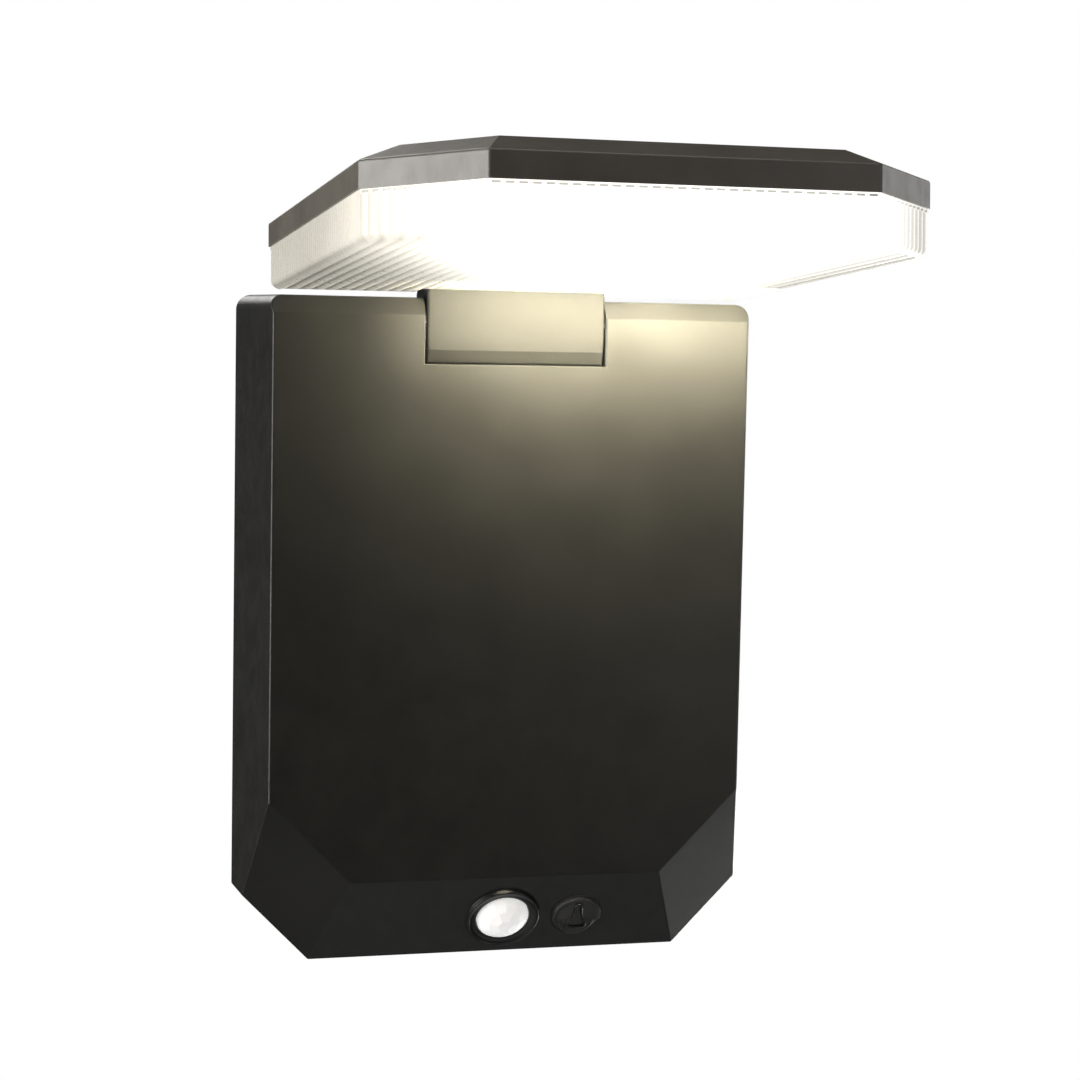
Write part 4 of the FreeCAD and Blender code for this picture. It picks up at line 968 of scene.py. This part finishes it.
def back_cover_screws():
    """Pan-head screws with cross recesses, where the CAD has plain ones."""
    low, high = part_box("back_cover_screws")
    radius = SCREW_HEAD_RADIUS_MM * MM
    points, sides = turned(screw_rings(), SCREW_SPOKES)
    vertices, faces = [], []
    for x in (low.x + radius, high.x - radius):
        for z in (low.z + radius, high.z - radius):
            start = len(vertices)
            turn = Matrix.Translation((x, low.y, z)) @ Matrix.Rotation(-pi / 2, 4, "X")
            vertices += [turn @ p for p in points]
            faces += [tuple(start + i for i in side) for side in sides]
    piece = mesh_piece("cover_screws", vertices, faces, "root", "screw_steel")
    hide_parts("back_cover_screws")


# ---------------------------------------------------------------- stage, lights and camera


def white_stage(name):
    """A surface that shows as plain white and sheds no light of its own on the object."""
    material = bpy.data.materials.new(name)
    material.use_nodes = True
    tree = material.node_tree
    tree.nodes.clear()
    glow = tree.nodes.new("ShaderNodeEmission")
    glow.inputs["Color"].default_value = (1, 1, 1, 1)
    output = tree.nodes.new("ShaderNodeOutputMaterial")
    tree.links.new(glow.outputs["Emission"], output.inputs["Surface"])
    return material


def stage_piece(name, vertices, faces, material):
    mesh = bpy.data.meshes.new(name)
    mesh.from_pydata(vertices, [], faces)
    mesh.materials.append(material)
    piece = bpy.data.objects.new(name, mesh)
    bpy.context.scene.collection.objects.link(piece)
    piece.visible_diffuse = False
    piece.visible_glossy = False
    piece.visible_shadow = False
    return piece


STAGE_REACH = 7.0
FLOOR_HEIGHT = -1.2
DOME_LOW, DOME_HIGH = -0.25, pi / 2 - 0.05  # angles above level
DOME_RINGS = 12
STAGE_SPOKES = 48


def stage_circle(radius, height):
    """Points evenly round a level circle about the light."""
    angles = [2 * pi * i / STAGE_SPOKES for i in range(STAGE_SPOKES)]
    return [(radius * cos(angle), radius * sin(angle), height) for angle in angles]


def backdrop():
    """A pale floor well below the light and a pale dome all round it."""
    white = white_stage("studio_white")
    stage_piece("floor", stage_circle(STAGE_REACH, FLOOR_HEIGHT),
                [tuple(range(STAGE_SPOKES))], white)
    vertices = []
    for ring in range(DOME_RINGS):
        rise = DOME_LOW + (DOME_HIGH - DOME_LOW) * ring / (DOME_RINGS - 1)
        vertices += stage_circle(STAGE_REACH * cos(rise), STAGE_REACH * sin(rise))
    faces = bridged(DOME_RINGS, STAGE_SPOKES)
    faces.append(tuple(range((DOME_RINGS - 1) * STAGE_SPOKES, DOME_RINGS * STAGE_SPOKES)))
    stage_piece("dome", vertices, faces, white)


def area_light(name, place, target, width, height, power, colour, body=None):
    """A soft rectangular light that looks at a point and never shows itself."""
    light = bpy.data.lights.new(name, "AREA")
    light.shape = "RECTANGLE"
    light.size = width
    light.size_y = height
    light.energy = power
    light.color = colour
    lamp = bpy.data.objects.new(name, light)
    bpy.context.scene.collection.objects.link(lamp)
    lamp.location = place
    lamp.rotation_mode = "QUATERNION"
    lamp.rotation_quaternion = (Vector(target) - Vector(place)).to_track_quat("-Z", "Y")
    lamp.visible_camera = False
    if body:
        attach(lamp, body)
    return lamp


STUDIO_WHITE = (1.0, 0.99, 0.97)
LAMP_WARM = (1.0, 0.92, 0.66)
AIR_BRIGHTNESS = 0.006

# Each soft box: its place, the point it looks at, width, height, and power in watts.
SOFT_BOXES = {
    "soft_left": ((-1.3, -0.22, 0.15), (0, -0.05, 0.05), 0.6, 1.0, 20),
    "soft_right": ((1.1, 0.6, -0.1), (0, 0, 0), 0.8, 1.4, 5.6),
    "soft_low": ((0.9, 0.8, -0.7), (0, 0, 0), 0.8, 0.8, 26),
    "soft_front": ((1.0, -1.15, 0.1), (0, 0, 0), 0.5, 1.4, 3.8),
    "soft_edge": ((-1.0, -0.95, 0.1), (0, 0, 0), 0.3, 1.3, 0.9),
    "soft_top": ((0, -0.5, 1.5), (0, -0.05, 0), 1.2, 0.8, 6.5),
    "soft_behind": ((-0.5, 1.1, 1.0), (0, 0, 0.1), 0.8, 0.8, 12),
    "soft_floor": ((0, -0.5, -1.15), (0, 0, 0), 1.2, 0.8, 1.8),
}


def studio():
    """Soft boxes round the light, kept low so that the black stays black."""
    for name, (place, target, width, height, power) in SOFT_BOXES.items():
        area_light(name, place, target, width, height, power, STUDIO_WHITE)
    world = bpy.data.worlds.new("studio_air")
    world.use_nodes = True
    air = world.node_tree.nodes["Background"]
    air.inputs["Color"].default_value = (1, 1, 1, 1)
    air.inputs["Strength"].default_value = AIR_BRIGHTNESS
    bpy.context.scene.world = world


# The lamp's light: places, the points looked at, width and height, and power in watts.
WASH_PLACE, WASH_TARGET = mm(33, -58, 103), mm(33, 0, 103)
WASH_SIZE = mm(108, 6)
WASH_POWER = 1.42
GLINT_PLACE, GLINT_TARGET = mm(20, -100, 104), mm(5, -15, -92)
GLINT_SIZE = mm(240, 60)
GLINT_POWER = 0.12
GLINT_SPREAD = radians(32)


def lamp_light():
    """The lamp's own light: a wash on the body, strongest below the bright end of the head,
    and the tray's reflection in the bezel. Both move with the head."""
    wash = area_light("lamp_wash", WASH_PLACE, WASH_TARGET, *WASH_SIZE, WASH_POWER,
                      LAMP_WARM, body="head")
    wash.visible_glossy = False
    glint = area_light("lamp_glint", GLINT_PLACE, GLINT_TARGET, *GLINT_SIZE, GLINT_POWER,
                       LAMP_WARM, body="head")
    glint.visible_diffuse = False
    glint.data.spread = GLINT_SPREAD


# The camera's place, turn and lens were recovered from the photo's perspective.
CAMERA_PLACE = (-0.180676, -0.736622, 0.089592)
CAMERA_YAW, CAMERA_PITCH, CAMERA_ROLL = -14.868, -4.6864, 1.0743  # degrees
LENS_MM, SENSOR_WIDTH_MM = 79.696, 36


def camera():
    """A long lens a little to the left of the light and slightly above its middle."""
    yaw, pitch, roll = (radians(turn) for turn in (CAMERA_YAW, CAMERA_PITCH, CAMERA_ROLL))
    ahead = Vector((-sin(yaw) * cos(pitch), cos(yaw) * cos(pitch), sin(pitch)))
    level = Vector((cos(yaw), sin(yaw), 0))
    upright = level.cross(ahead)
    right = cos(roll) * level + sin(roll) * upright
    up = cos(roll) * upright - sin(roll) * level
    lens = bpy.data.cameras.new("camera")
    lens.lens = LENS_MM
    lens.sensor_width = SENSOR_WIDTH_MM
    lens.clip_start = 0.01
    lens.clip_end = 100
    viewer = bpy.data.objects.new("camera", lens)
    bpy.context.scene.collection.objects.link(viewer)
    turn = Matrix((right, up, -ahead)).transposed().to_4x4()
    viewer.matrix_world = Matrix.Translation(CAMERA_PLACE) @ turn
    bpy.context.scene.camera = viewer


paint_frame()
lower_cells()
diffuser()
pir_bezel()
pir_lens()
button_cap()
button_symbol()
back_cover_screws()
backdrop()
studio()
lamp_light()
camera()
bpy.context.scene.view_settings.view_transform = "Standard"
bpy.context.scene.view_settings.look = "None"
